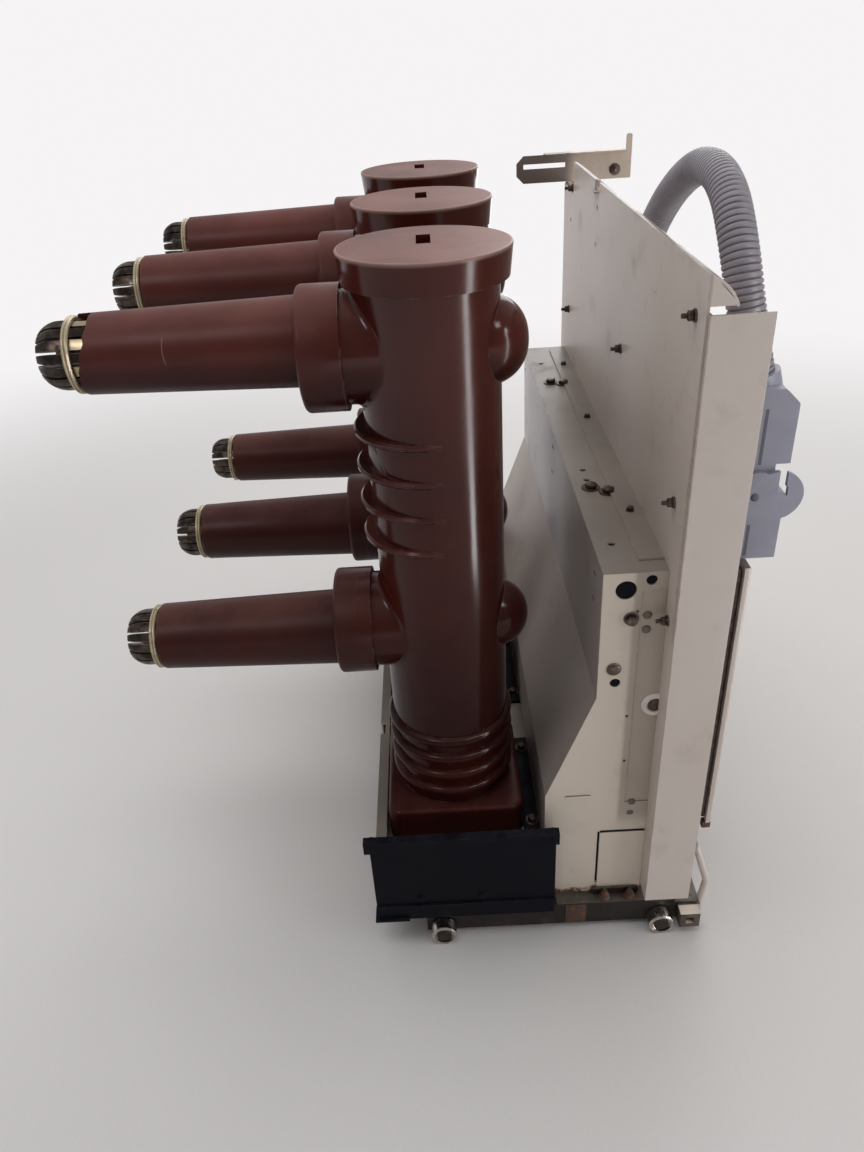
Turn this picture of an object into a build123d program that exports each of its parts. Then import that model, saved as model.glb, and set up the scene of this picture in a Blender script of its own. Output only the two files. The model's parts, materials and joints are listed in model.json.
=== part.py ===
from build123d import *
import math
import os

# Withdrawable indoor vacuum circuit breaker: three moulded poles with contact arms on a
# sheet-metal chassis, a closed mechanism housing with its front pan, and a truck on rollers.
# X runs across the breaker, -Y is the operator's front, +Y the side of the contact arms,
# and Z is the height over the floor. Depths are measured forwards from the pole axes.

# Layout, with the origin under the middle of the box round everything but the conduit
POLE_COUNT = 3
POLE_PITCH = 210.0
ARM_REACH = 310.5
BRACKET_FRONT = 273.0
POLE_Y = (BRACKET_FRONT - ARM_REACH) / 2

# Poles
BODY_RADIUS = 58.5
POLE_SEAT = 110.0
BASE_SIZE = 140.0
BASE_HEIGHT = 40.0
BASE_CORNER = 14.0
BASE_EDGE = 5.0
POLE_TOP = 692.0
CAP_HEIGHT = 25.0
CAP_RADIUS = 69.0
CAP_FOOT_RADIUS = 66.5
CAP_EDGE = 1.5
KEY_WIDTH = 11.5
KEY_LENGTH = 34.0
KEY_DEPTH = 8.0
KEY_OFFSET = 15.0
CREEP_COUNT = 4
CREEP_PITCH = 22.0
CREEP_FIRST = 17.0
CREEP_HEIGHT = 5.0
CREEP_HALF = 5.5
RIB_COUNT = 4
RIB_PITCH = 33.0
RIB_FIRST = 448.0
RIB_RADIUS = 60.0
RIB_OFFSET = 8.5
RIB_THICK = 6.0
RIB_EDGE = 1.8

# Contact arms
UPPER_ARM = 622.0
LOWER_ARM = 340.0
LOWER_ARM_SHORTER = 5.0
COLLAR_SHIFT = 7.0
COLLAR_RADIUS = 51.0
COLLAR_START = 68.0
COLLAR_END = 103.0
COLLAR_EDGE = 4.0
BOSS_RADIUS = 46.0
BOSS_BLEND = 6.0
SOCKET_DEPTH = 18.0
SOCKET_CLEARANCE = 0.3
UPPER_DOME_RADIUS = 37.0
LOWER_DOME_RADIUS = 33.0
DOME_START = 50.0
DOME_REACH = 80.5

# Sleeves
SLEEVE_ROOT_RADIUS = 36.5
SLEEVE_TIP_RADIUS = 32.0
SLEEVE_WALL = 3.5
SLEEVE_SETBACK = 31.0
SLEEVE_LIP = 1.2

# Broken end of the near upper sleeve, as distance back from its end and height over its axis
BREAK_OUTLINE = (
    (2.0, 34.0),
    (-13.0, 34.0),
    (-13.5, 26.0),
    (-11.0, 21.0),
    (-11.5, 16.0),
    (-7.5, 9.0),
    (-7.0, 2.0),
    (-4.0, -5.0),
    (-3.5, -12.0),
    (-0.5, -19.0),
    (2.0, -19.0),
)
BREAK_PAST_TOP = 7.0
BROKEN_SLEEVE = (1, UPPER_ARM)

# Finger contacts
FINGER_COUNT = 16
FINGER_SLOT = 2.5
FINGER_LENGTH = 64.0
FINGER_RADIUS = 27.5
FINGER_TIP_RADIUS = 20.4
FINGER_BORE = 19.5
FINGER_MOUTH = 19.0
FINGER_SHOULDER = 15.5
NOSE_RADIUS = 17.5
NOSE_START = 4.0
NOSE_LENGTH = 9.0
NOSE_RAMP = 4.0
HUB_RADIUS = 27.5
HUB_THICK = 8.0
STEM_RADIUS = 17.0
GARTER_SETBACK = 29.5
GARTER_WIDTH = 5.5
GARTER_THICK = 3.3
GARTER_CLEARANCE = 0.2
GARTER_GROOVE = 1.2

# Sheet metal
SHEET = 2.0
SIDE_OVERHANG = 116.0
HOUSING_SETBACK = 25.0
HOUSING_BOTTOM = 40.0
HOUSING_TOP = 440.0
HOUSING_REAR_LOW = 88.0
HOUSING_REAR_HIGH = 133.0
HOUSING_KNEE_LOW = 185.0
HOUSING_KNEE_HIGH = 307.0
SIDE_PLATE = 2.5
PAN_DEPTH = 190.0
PAN_FLANGE = 45.0
PAN_BOTTOM = 52.0
PAN_TOP = 657.0
SHIELD_TOP = 683.0
SHIELD_TAB_BOTTOM = 383.0
SHIELD_FLANGE = 24.0
SHIELD_FLANGE_SETBACK = 44.0
SHIELD_NOTCH_WIDTH = 72.0
SHIELD_NOTCH_HEIGHT = 33.0
SHIELD_CLEARANCE = 0.3
SHIELD_HOLES = ((89.0, 657.0), (92.0, 619.0), (265.0, 614.0))
SHIELD_HOLE_RADIUS = 2.8
TAB_NOTCH_START = 82.0
TAB_NOTCH_END = 106.0
TAB_NOTCH_DEPTH = 9.0
TAB_GAP = 1.0
TAB_OUT = 5.5
TAB_THICK = 1.5
LIP_REACH = 20.0
LIP_DROP = 21.0
LIP_CROWN = 3.0

# Housing side openings, as depth, height and radius
SIDE_HOLES = ((153.0, 423.0, 9.0), (174.0, 432.0, 4.7), (149.0, 324.0, 4.7))
SIDE_HOLE_DEPTH = 12.0

# Screw holes in the housing's top, as X and depth, and slots in its rear wall, as X and height
TOP_HOLES = ((232.0, 148.0), (-101.0, 149.0), (-124.0, 149.0), (-252.0, 149.0))
TOP_HOLE_RADIUS = 3.2
REAR_SLOTS = ((293.0, 413.0), (293.0, 370.0), (3.0, 421.0), (7.0, 389.0), (-263.0, 419.0), (-263.0, 392.0))
REAR_SLOT_WIDTH = 12.0
REAR_SLOT_HEIGHT = 3.0
POCKET_START = 167.0
POCKET_BOTTOM = 172.0
POCKET_TOP = 422.0
POCKET_DEPTH = 1.2
FOOT_PAD_START = 144.0
FOOT_PAD_TOP = 131.0
FOOT_PAD_THICK = 1.5
FOOT_PAD_GAP = 2.0
FOOT_PAD_GAP_BOTTOM = 54.0

# Operator front
CASE_FRONT = 247.0
CASE_INSET = 20.0
CASE_BOTTOM = 150.0
COVER_THICK = 6.0
COVER_LAP = 4.0
COVER_EDGE = 3.0

# Pole bed
BED_REAR = 84.0
BED_INSET = 20.0
BED_WALL_TOP = 130.0
BED_WALL = 2.5
BED_LIP = 11.0
BED_SLOT_LENGTH = 18.0
BED_SLOT_WIDTH = 6.0
BED_SLOT_X = -127.0

# Side covers
COVER_REAR = 88.0
COVER_FRONT = 97.0
COVER_BOTTOM = 37.0
COVER_TOP = 161.0
COVER_OUT = 16.0
COVER_WALL = 3.0
COVER_LIP_HEIGHT = 4.0
COVER_LIP_OUT = 5.5
COVER_LIP_OVERHANG = 5.0
COVER_TAB_WIDTH = 6.0
COVER_TAB_DROP = 15.0
COVER_TOOTH_COUNT = 10
COVER_TOOTH_PITCH = 16.5
COVER_TOOTH_WIDTH = 11.0
COVER_TOOTH_OUT = 1.5
COVER_TOOTH_HEIGHT = 6.0
COVER_LEDGE = 57.0
COVER_LEDGE_OUT = 2.0
COVER_LEDGE_HEIGHT = 3.0
COVER_FOOT_LENGTH = 36.0
COVER_FOOT_OUT = 3.0

# Truck
ROLLER_RADIUS = 13.5
ROLLER_LENGTH = 14.0
ROLLER_REAR = 20.0
ROLLER_FRONT = 210.0
ROLLER_GAP = 0.5
ROLLER_RECESS = 3.5
ROLLER_RIM = 3.0
ROLLER_EDGE = 1.0
AXLE_RADIUS = 5.0
AXLE_CLEARANCE = 0.05
AXLE_HEAD_RADIUS = 8.0
AXLE_HEAD = 2.5
RAIL_OUT = 314.0
RAIL_WALL = 2.5
RAIL_BOTTOM = 6.0
RAIL_FLANGE = 25.0
RAIL_REAR = 38.0
FLOOR_PLATE = 3.0
FLOOR_STEP = 100.0
FLOOR_WIDE = 316.0
BEAM_BACK = 226.0
BEAM_FRONT = 250.0
BEAM_TOP = 32.0
BEAM_WALL = 2.5

# Latches in the front beam
TONGUE_OUT = 328.5
TONGUE_LENGTH = 80.0
TONGUE_CLEARANCE = 0.3
TONGUE_SLOT_LENGTH = 12.0
TONGUE_SLOT_HEIGHT = 8.0
FOOT_THICK = 2.5
FOOT_BOTTOM = 9.0
FOOT_LENGTH = 70.0
HANDLE_ROD_RADIUS = 3.5
HANDLE_LEG_DEPTH = 254.6
HANDLE_KNEE_DEPTH = 258.0
HANDLE_WIDTH = 52.0
HANDLE_TOP = 107.0
HANDLE_TOP_DEPTH = 243.0
HANDLE_KNEE = 57.0
HANDLE_BEND = 9.0

# Corner bracket
BRACKET_BOTTOM = 651.0
BRACKET_TOP = 684.0
BRACKET_REAR = 125.0
BRACKET_CHAMFER = 9.0
BRACKET_SLOT_START = 134.0
BRACKET_SLOT_END = 188.0
BRACKET_SLOT_HEIGHT = 5.6
BRACKET_SLOT_Z = 671.0
BRACKET_LEDGE_START = 160.0
BRACKET_LEDGE_END = 264.0
BRACKET_LEDGE_OUT = 14.0
BRACKET_HOOK_HEIGHT = 19.0
BRACKET_HOOK_WIDTH = 7.5
BRACKET_HOOK_EDGE = 3.0
BRACKET_TAB_START = 200.0
BRACKET_TAB_END = 230.0
BRACKET_TAB_DROP = 30.0

# Conduit, its gland and its plug
HOSE_RADIUS = 14.25
GLAND_X = 34.0
GLAND_DEPTH = 219.0
GLAND_HEIGHT = 24.0
GLAND_RADIUS = 19.0
GLAND_NUT = 42.0
GLAND_NUT_HEIGHT = 10.0
PLUG_X = -270.0
PLUG_WIDTH = 50.0
PLUG_BACK = 206.0
PLUG_FRONT = 275.0
PLUG_TOP = 590.0
PLUG_SHOULDER = 12.0
PLUG_CORNER = 5.0
PLUG_NECK_RADIUS = 18.0
PLUG_NECK_LENGTH = 26.0
PLUG_NOTCH = 11.0
PLUG_NOTCH_HEIGHT = 26.0
PLUG_GROOVES = (220.0, 238.0)
PLUG_GROOVE_WIDTH = 3.0
PLUG_GROOVE_DEPTH = 1.5
PLUG_GROOVE_BOTTOM = 462.0
PLUG_GROOVE_TOP = 566.0
LEVER_THICK = 4.0
LEVER_GAP = 0.3
LEVER_RADIUS = 21.0
LEVER_PIN_DEPTH = 250.0
LEVER_PIN_Z = 503.0
LEVER_PIN_RADIUS = 4.0
LEVER_PIN_CLEARANCE = 0.05
LEVER_LOBE = 17.0
LEVER_WINDOW = 8.0

# Points on the conduit's route as X, depth and height, from the gland to the plug's neck
HOSE_ROUTE = (
    (34.0, 219.0, 464.0),
    (34.0, 219.0, 540.0),
    (23.0, 221.0, 610.0),
    (-22.0, 226.0, 668.0),
    (-82.0, 230.0, 708.0),
    (-147.0, 231.0, 728.0),
    (-211.0, 229.0, 720.0),
    (-252.0, 229.0, 684.0),
    (-267.0, 236.0, 636.0),
    (-270.0, 247.0, 595.0),
)

HALF_WIDTH = (POLE_COUNT - 1) * POLE_PITCH / 2 + SIDE_OVERHANG
HOUSING_HALF = HALF_WIDTH - HOUSING_SETBACK
BED_HALF = HALF_WIDTH - BED_INSET
CASE_HALF = HALF_WIDTH - CASE_INSET


def at_y(depth):
    """Y of what lies this far in front of the pole axes."""
    return POLE_Y - depth


def pole_x(index):
    return (index - (POLE_COUNT - 1) / 2) * POLE_PITCH


def block(x0, x1, depth0, depth1, z0, z1):
    """Box between two X, two depths and two heights."""
    centre = Pos((x0 + x1) / 2, at_y((depth0 + depth1) / 2), (z0 + z1) / 2)
    return centre * Box(abs(x1 - x0), abs(depth1 - depth0), abs(z1 - z0))


def turned(points):
    """Solid turned about Z from radius and height pairs."""
    return revolve(Plane.XZ * make_face(Polyline(*points, close=True)), Axis.Z)


def towards_back(x, z):
    """Placement that lays a part turned about Z along +Y from a pole's axis."""
    return Pos(x, POLE_Y, z) * Rot(-90, 0, 0)


def across(x, outline):
    """Placed face in the depth and height plane, from depth and height pairs."""
    placed = [(x, at_y(depth), z) for depth, z in outline]
    return make_face(Polyline(*placed, close=True))


def prism(x0, x1, outline):
    """Bar along X with an outline given as depth and height pairs."""
    return extrude(across(x0, outline), amount=x1 - x0, dir=(1, 0, 0))


def disc(x0, x1, depth, z, radius):
    """Cylinder along X."""
    centre = Pos((x0 + x1) / 2, at_y(depth), z)
    return centre * Rot(0, 90, 0) * Cylinder(radius, abs(x1 - x0))


def pole_base():
    base = Pos(0, 0, POLE_SEAT + BASE_HEIGHT / 2) * Box(BASE_SIZE, BASE_SIZE, BASE_HEIGHT)
    base = fillet(base.edges().filter_by(Axis.Z), BASE_CORNER)
    return fillet(base.faces().sort_by(Axis.Z)[-1].edges(), BASE_EDGE)


def pole_column():
    """Round column with the rounded creepage rings over its base."""
    foot = POLE_SEAT + BASE_HEIGHT / 2
    top = POLE_TOP - CAP_HEIGHT
    outline = Line((0, foot), (BODY_RADIUS, foot))
    reached = foot
    for index in range(CREEP_COUNT):
        middle = POLE_SEAT + BASE_HEIGHT + CREEP_FIRST + index * CREEP_PITCH
        low = (BODY_RADIUS, middle - CREEP_HALF)
        high = (BODY_RADIUS, middle + CREEP_HALF)
        outline += Line((BODY_RADIUS, reached), low)
        outline += ThreePointArc(low, (BODY_RADIUS + CREEP_HEIGHT, middle), high)
        reached = middle + CREEP_HALF
    outline += Polyline((BODY_RADIUS, reached), (BODY_RADIUS, top), (0, top), (0, foot))
    return revolve(Plane.XZ * make_face(outline), Axis.Z)


def crescent_rib(index):
    rib = Cylinder(RIB_RADIUS, RIB_THICK)
    rib = chamfer(rib.edges(), RIB_EDGE)
    return Pos(0, RIB_OFFSET, RIB_FIRST + index * RIB_PITCH) * rib


def arm_boss(z, shift):
    """Moulded boss and collar that a sleeve plugs into."""
    boss = Pos(0, 0, COLLAR_START / 2) * Cylinder(BOSS_RADIUS, COLLAR_START)
    length = COLLAR_END - COLLAR_START
    collar = Cylinder(COLLAR_RADIUS, length)
    collar = fillet(collar.edges().sort_by(Axis.Z)[-1], COLLAR_EDGE)
    boss += Pos(0, 0, COLLAR_START + length / 2) * collar
    boss = Pos(0, 0, z + shift) * Rot(-90, 0, 0) * boss
    socket = Cylinder(SLEEVE_ROOT_RADIUS + SOCKET_CLEARANCE, SOCKET_DEPTH)
    socket = Pos(0, 0, COLLAR_END - SOCKET_DEPTH / 2) * socket
    return boss - Pos(0, 0, z) * Rot(-90, 0, 0) * socket


def dome(z, radius):
    """Round moulded cover over a contact screw, on the operator's side."""
    rise = DOME_REACH - DOME_START
    slant = math.sqrt(0.5)
    wall = Polyline((0, DOME_REACH), (0, 0), (radius, 0), (radius, DOME_START))
    crown = ThreePointArc(
        (radius, DOME_START),
        (radius * slant, DOME_START + rise * slant),
        (0, DOME_REACH),
    )
    solid = revolve(Plane.XZ * make_face(wall + crown), Axis.Z)
    return Pos(0, 0, z) * Rot(90, 0, 0) * solid


def pole(index):
    body = pole_column() + pole_base()
    body += arm_boss(UPPER_ARM, -COLLAR_SHIFT)
    body += arm_boss(LOWER_ARM, COLLAR_SHIFT)
    seams = body.edges().filter_by(GeomType.BSPLINE)
    body = fillet(seams, BOSS_BLEND)
    for rib in range(RIB_COUNT):
        body += crescent_rib(rib)
    body += dome(UPPER_ARM - COLLAR_SHIFT, UPPER_DOME_RADIUS)
    body += dome(LOWER_ARM + COLLAR_SHIFT, LOWER_DOME_RADIUS)
    return Pos(pole_x(index), POLE_Y, 0) * body


def pole_cap(index):
    cap = Cone(CAP_FOOT_RADIUS, CAP_RADIUS, CAP_HEIGHT)
    cap = fillet(cap.edges().sort_by(Axis.Z)[-1], CAP_EDGE)
    key = Box(KEY_LENGTH, KEY_WIDTH, KEY_DEPTH)
    cap -= Pos(KEY_OFFSET, 0, (CAP_HEIGHT - KEY_DEPTH) / 2) * key
    return Pos(pole_x(index), POLE_Y, POLE_TOP - CAP_HEIGHT / 2) * cap


def arm_reach(z):
    return ARM_REACH if z == UPPER_ARM else ARM_REACH - LOWER_ARM_SHORTER


def sleeve(index, z):
    """Tapered insulating sleeve over a contact arm."""
    start = COLLAR_END - SOCKET_DEPTH
    end = arm_reach(z) - SLEEVE_SETBACK
    bore = SLEEVE_TIP_RADIUS - SLEEVE_WALL
    tube = turned([
        (bore, start),
        (SLEEVE_ROOT_RADIUS, start),
        (SLEEVE_ROOT_RADIUS, COLLAR_END),
        (SLEEVE_TIP_RADIUS, end - SLEEVE_LIP),
        (SLEEVE_TIP_RADIUS - SLEEVE_LIP, end),
        (bore, end),
    ])
    return towards_back(pole_x(index), z) * tube


def broken_sleeve(index, z):
    """Sleeve whose end is chipped off at the top and on the outer side."""
    end = arm_reach(z) - SLEEVE_SETBACK
    outline = [(-end - along, z + rise) for along, rise in BREAK_OUTLINE]
    start = pole_x(index) - SLEEVE_ROOT_RADIUS
    chip = prism(start, pole_x(index) + BREAK_PAST_TOP, outline)
    return sleeve(index, z) - chip


def finger_contact(index, z):
    """Contact arm with a crown of sprung fingers at its end."""
    tip = arm_reach(z)
    root = tip - FINGER_LENGTH
    nose = tip - NOSE_START
    shoulder = (FINGER_RADIUS, tip - FINGER_SHOULDER)
    outline = Polyline(
        (FINGER_TIP_RADIUS, tip),
        (FINGER_MOUTH, tip),
        (NOSE_RADIUS, nose),
        (NOSE_RADIUS, nose - NOSE_LENGTH),
        (FINGER_BORE, nose - NOSE_LENGTH - NOSE_RAMP),
        (FINGER_BORE, root),
        (0, root),
        (0, COLLAR_END - SOCKET_DEPTH),
        (STEM_RADIUS, COLLAR_END - SOCKET_DEPTH),
        (STEM_RADIUS, root - HUB_THICK),
        (HUB_RADIUS, root - HUB_THICK),
        shoulder,
    )
    outline += TangentArc(shoulder, (FINGER_TIP_RADIUS, tip), tangent=(0, 1))
    crown = revolve(Plane.XZ * make_face(outline), Axis.Z)
    cut = Box(2 * HUB_RADIUS, FINGER_SLOT, FINGER_LENGTH)
    cut = Pos(0, 0, tip - FINGER_LENGTH / 2 + FINGER_SLOT) * cut
    for turn in range(FINGER_COUNT // 2):
        crown -= Rot(0, 0, turn * 360 / FINGER_COUNT) * cut
    return towards_back(pole_x(index), z) * crown


def garter_ring(index, z):
    """Double band that holds a crown of fingers together."""
    start = arm_reach(z) - GARTER_SETBACK
    end = start + GARTER_WIDTH
    bore = FINGER_RADIUS + GARTER_CLEARANCE
    crest = bore + GARTER_THICK
    ring = turned([
        (bore, start),
        (crest - GARTER_GROOVE, start),
        (crest, start + GARTER_WIDTH / 5),
        (crest, start + GARTER_WIDTH / 3),
        (crest - GARTER_GROOVE, start + GARTER_WIDTH / 2),
        (crest, end - GARTER_WIDTH / 3),
        (crest, end - GARTER_WIDTH / 5),
        (crest - GARTER_GROOVE, end),
        (bore, end),
    ])
    return towards_back(pole_x(index), z) * ring


def pole_bed():
    """White tray that carries the poles, with its turned-in rear lip."""
    bed = block(-BED_HALF, BED_HALF, -BED_REAR, HOUSING_REAR_LOW, HOUSING_BOTTOM, POLE_SEAT)
    bed += block(-BED_HALF, BED_HALF, -BED_REAR, BED_WALL - BED_REAR, POLE_SEAT, BED_WALL_TOP)
    lip_bottom = BED_WALL_TOP - BED_WALL
    bed += block(-BED_HALF, BED_HALF, -BED_REAR, BED_LIP - BED_REAR, lip_bottom, BED_WALL_TOP)
    for side in (-1, 1):
        inner = side * (BED_HALF - BED_WALL)
        outer = side * BED_HALF
        bed += block(inner, outer, -BED_REAR, HOUSING_REAR_LOW, POLE_SEAT, BED_WALL_TOP)
    slot_start = BED_SLOT_X - BED_SLOT_LENGTH / 2
    slot_end = BED_SLOT_X + BED_SLOT_LENGTH / 2
    bed -= block(slot_start, slot_end, -BED_REAR, BED_SLOT_WIDTH - BED_REAR, POLE_SEAT, BED_WALL_TOP)
    return bed


def side_cover(side):
    """Open-topped plastic cover on a side of the pole bed, with a toothed lip and a ledge."""
    inner = side * BED_HALF
    outer = side * (BED_HALF + COVER_OUT)
    cover = block(inner, outer, -COVER_REAR, COVER_FRONT, COVER_BOTTOM, COVER_TOP)
    wall = side * (BED_HALF + COVER_OUT - COVER_WALL)
    cover -= block(
        inner, wall,
        COVER_WALL - COVER_REAR, COVER_FRONT - COVER_WALL,
        COVER_BOTTOM + COVER_WALL, COVER_TOP,
    )
    lip = side * (BED_HALF + COVER_OUT + COVER_LIP_OUT)
    lip_bottom = COVER_TOP - COVER_LIP_HEIGHT
    rear = -COVER_REAR - COVER_LIP_OVERHANG
    cover += block(outer, lip, rear, COVER_FRONT + COVER_LIP_OVERHANG / 2, lip_bottom, COVER_TOP)
    tab_bottom = COVER_TOP - COVER_TAB_DROP
    cover += block(wall, lip, rear, rear + COVER_TAB_WIDTH, tab_bottom, COVER_TOP)
    front = COVER_FRONT + COVER_LIP_OVERHANG / 2
    cover += block(wall, lip, front - COVER_TAB_WIDTH, front, tab_bottom, COVER_TOP)
    tooth = side * (BED_HALF + COVER_OUT + COVER_TOOTH_OUT)
    for index in range(COVER_TOOTH_COUNT):
        middle = (COVER_FRONT - COVER_REAR) / 2 + (index - (COVER_TOOTH_COUNT - 1) / 2) * COVER_TOOTH_PITCH
        cover += block(
            outer, tooth, middle - COVER_TOOTH_WIDTH / 2, middle + COVER_TOOTH_WIDTH / 2,
            lip_bottom - COVER_TOOTH_HEIGHT, lip_bottom,
        )
    ledge = side * (BED_HALF + COVER_OUT + COVER_LEDGE_OUT)
    cover += block(
        outer, ledge, -COVER_REAR, COVER_FRONT,
        COVER_LEDGE, COVER_LEDGE + COVER_LEDGE_HEIGHT,
    )
    foot = side * (BED_HALF + COVER_OUT + COVER_FOOT_OUT)
    heel = -COVER_REAR - COVER_FOOT_OUT
    return cover + block(inner, foot, heel, heel + COVER_FOOT_LENGTH, COVER_BOTTOM, COVER_BOTTOM + COVER_WALL)


def housing_outline():
    return [
        (HOUSING_REAR_LOW, HOUSING_BOTTOM),
        (HOUSING_REAR_LOW, HOUSING_KNEE_LOW),
        (HOUSING_REAR_HIGH, HOUSING_KNEE_HIGH),
        (HOUSING_REAR_HIGH, HOUSING_TOP),
        (PAN_DEPTH, HOUSING_TOP),
        (PAN_DEPTH, HOUSING_BOTTOM),
    ]


def mechanism_housing():
    inner = HOUSING_HALF - SIDE_PLATE
    housing = prism(-inner, inner, housing_outline())
    for side in (-1, 1):
        for depth, z, radius in SIDE_HOLES:
            bottom = side * (inner - SIDE_HOLE_DEPTH)
            housing -= disc(bottom, side * inner, depth, z, radius)
    for x, depth in TOP_HOLES:
        hole = Cylinder(TOP_HOLE_RADIUS, SIDE_HOLE_DEPTH)
        housing -= Pos(x, at_y(depth), HOUSING_TOP - SIDE_HOLE_DEPTH / 2) * hole
    for x, z in REAR_SLOTS:
        housing -= block(
            x - REAR_SLOT_WIDTH / 2, x + REAR_SLOT_WIDTH / 2,
            HOUSING_REAR_HIGH, HOUSING_REAR_HIGH + SIDE_HOLE_DEPTH,
            z - REAR_SLOT_HEIGHT / 2, z + REAR_SLOT_HEIGHT / 2,
        )
    return housing


def housing_side(side):
    """Side plate of the housing, with its joggled front strip and foot pad."""
    inner = side * (HOUSING_HALF - SIDE_PLATE)
    outer = side * HOUSING_HALF
    plate = prism(inner, outer, housing_outline())
    for depth, z, radius in SIDE_HOLES:
        plate -= disc(inner, outer, depth, z, radius)
    pocket = side * (HOUSING_HALF - POCKET_DEPTH)
    plate -= block(pocket, outer, POCKET_START, PAN_DEPTH, POCKET_BOTTOM, POCKET_TOP)
    plate -= block(
        pocket, outer, FOOT_PAD_START - FOOT_PAD_GAP, FOOT_PAD_START,
        FOOT_PAD_GAP_BOTTOM, FOOT_PAD_TOP,
    )
    pad = side * (HOUSING_HALF + FOOT_PAD_THICK)
    plate += block(outer, pad, FOOT_PAD_START, PAN_DEPTH, HOUSING_BOTTOM, FOOT_PAD_TOP)
    return plate


def front_pan():
    """Full-height front sheet with its two side flanges folded forwards."""
    pan = block(-HALF_WIDTH, HALF_WIDTH, PAN_DEPTH, PAN_DEPTH + SHEET, PAN_BOTTOM, PAN_TOP)
    for side in (-1, 1):
        inner = side * (HALF_WIDTH - SHEET)
        outer = side * HALF_WIDTH
        pan += block(inner, outer, PAN_DEPTH, PAN_DEPTH + PAN_FLANGE, PAN_BOTTOM, PAN_TOP)
    edge = HALF_WIDTH - SHEET
    notch_z = SHIELD_TOP - SHIELD_NOTCH_HEIGHT
    return pan - block(edge - SHIELD_NOTCH_WIDTH, edge, PAN_DEPTH, PAN_DEPTH + SHEET, notch_z, PAN_TOP)


def shield_lip():
    """Crowned lip along the shield's top edge, bent forwards and down."""
    length = math.hypot(LIP_REACH, LIP_DROP)
    out_depth = LIP_DROP / length
    out_z = LIP_REACH / length

    def face_point(along, out):
        depth = PAN_DEPTH + along * LIP_REACH + out * out_depth
        z = SHIELD_TOP - along * LIP_DROP + out * out_z
        return (-HALF_WIDTH + 3 * SHEET / 2, at_y(depth), z)

    start = face_point(0, 0)
    middle = face_point(0.5, LIP_CROWN)
    end = face_point(1, 0)
    under_end = face_point(1, -SHEET)
    under_middle = face_point(0.5, LIP_CROWN - SHEET)
    under_start = face_point(0, -SHEET)
    edges = ThreePointArc(start, middle, end) + Line(end, under_end)
    edges += ThreePointArc(under_end, under_middle, under_start) + Line(under_start, start)
    width = 2 * HALF_WIDTH - 3 * SHEET - SHIELD_NOTCH_WIDTH
    return extrude(make_face(edges), amount=width, dir=(1, 0, 0))


def rear_shield():
    """Upper sheet behind the pan, with a foot flange, side tabs, a closed lip and a bent tab."""
    edge = HALF_WIDTH - 3 * SHEET / 2
    back = PAN_DEPTH - SHEET
    notch_x = edge - SHIELD_NOTCH_WIDTH
    notch_z = SHIELD_TOP - SHIELD_NOTCH_HEIGHT
    shield = block(-edge, edge, back, PAN_DEPTH, HOUSING_TOP, SHIELD_TOP)
    shield -= block(notch_x, edge, back, PAN_DEPTH, notch_z, SHIELD_TOP)
    for side in (-1, 1):
        inner = side * (HOUSING_HALF + SHIELD_CLEARANCE)
        shield += block(inner, side * edge, back, PAN_DEPTH, SHIELD_TAB_BOTTOM, HOUSING_TOP)
    foot = HALF_WIDTH - SHIELD_FLANGE_SETBACK
    shield += block(-foot, foot, PAN_DEPTH - SHIELD_FLANGE, PAN_DEPTH, HOUSING_TOP, HOUSING_TOP + SHEET)
    for x, z in SHIELD_HOLES:
        hole = Cylinder(SHIELD_HOLE_RADIUS, 2 * SHEET)
        shield -= Pos(x, at_y(PAN_DEPTH - SHEET / 2), z) * Rot(90, 0, 0) * hole
    shield += shield_lip()
    lip_bottom = SHIELD_TOP - LIP_DROP
    for start in (-edge, notch_x - SHEET):
        shield += prism(start, start + SHEET, [
            (PAN_DEPTH, SHIELD_TOP), (PAN_DEPTH + LIP_REACH, lip_bottom), (PAN_DEPTH, lip_bottom),
        ])
    floor = SHIELD_TOP - TAB_NOTCH_DEPTH
    crest = SHIELD_TOP + LIP_CROWN
    shield -= block(TAB_NOTCH_START, TAB_NOTCH_END, back, PAN_DEPTH + TAB_NOTCH_DEPTH, floor, crest)
    return shield + block(
        TAB_NOTCH_START + TAB_GAP, TAB_NOTCH_END - TAB_GAP, back - TAB_OUT, back,
        floor - TAB_THICK, floor,
    )


def mechanism_case():
    back = PAN_DEPTH + SHEET
    return block(-CASE_HALF, CASE_HALF, back, CASE_FRONT, CASE_BOTTOM, HOUSING_TOP)


def front_cover():
    half = CASE_HALF + COVER_LAP
    front = CASE_FRONT + COVER_THICK
    cover = block(-half, half, CASE_FRONT, front, CASE_BOTTOM - COVER_LAP, HOUSING_TOP + COVER_LAP)
    return fillet(cover.faces().sort_by(Axis.Y)[0].edges(), COVER_EDGE)


def truck_floor():
    plate = block(
        -BED_HALF, BED_HALF, -BED_REAR, FLOOR_STEP,
        HOUSING_BOTTOM - FLOOR_PLATE, HOUSING_BOTTOM,
    )
    return plate + block(
        -FLOOR_WIDE, FLOOR_WIDE, FLOOR_STEP, BEAM_BACK,
        HOUSING_BOTTOM - FLOOR_PLATE, HOUSING_BOTTOM,
    )


def axle(side, depth):
    """Axle stub with a head that holds a roller on."""
    start = side * (RAIL_OUT - RAIL_WALL)
    roller_end = RAIL_OUT + ROLLER_GAP + ROLLER_LENGTH
    seat = side * (roller_end - ROLLER_RECESS + ROLLER_GAP)
    head_end = side * (roller_end - ROLLER_RECESS + ROLLER_GAP + AXLE_HEAD)
    stub = disc(start, seat, depth, ROLLER_RADIUS, AXLE_RADIUS)
    return stub + disc(seat, head_end, depth, ROLLER_RADIUS, AXLE_HEAD_RADIUS)


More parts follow.
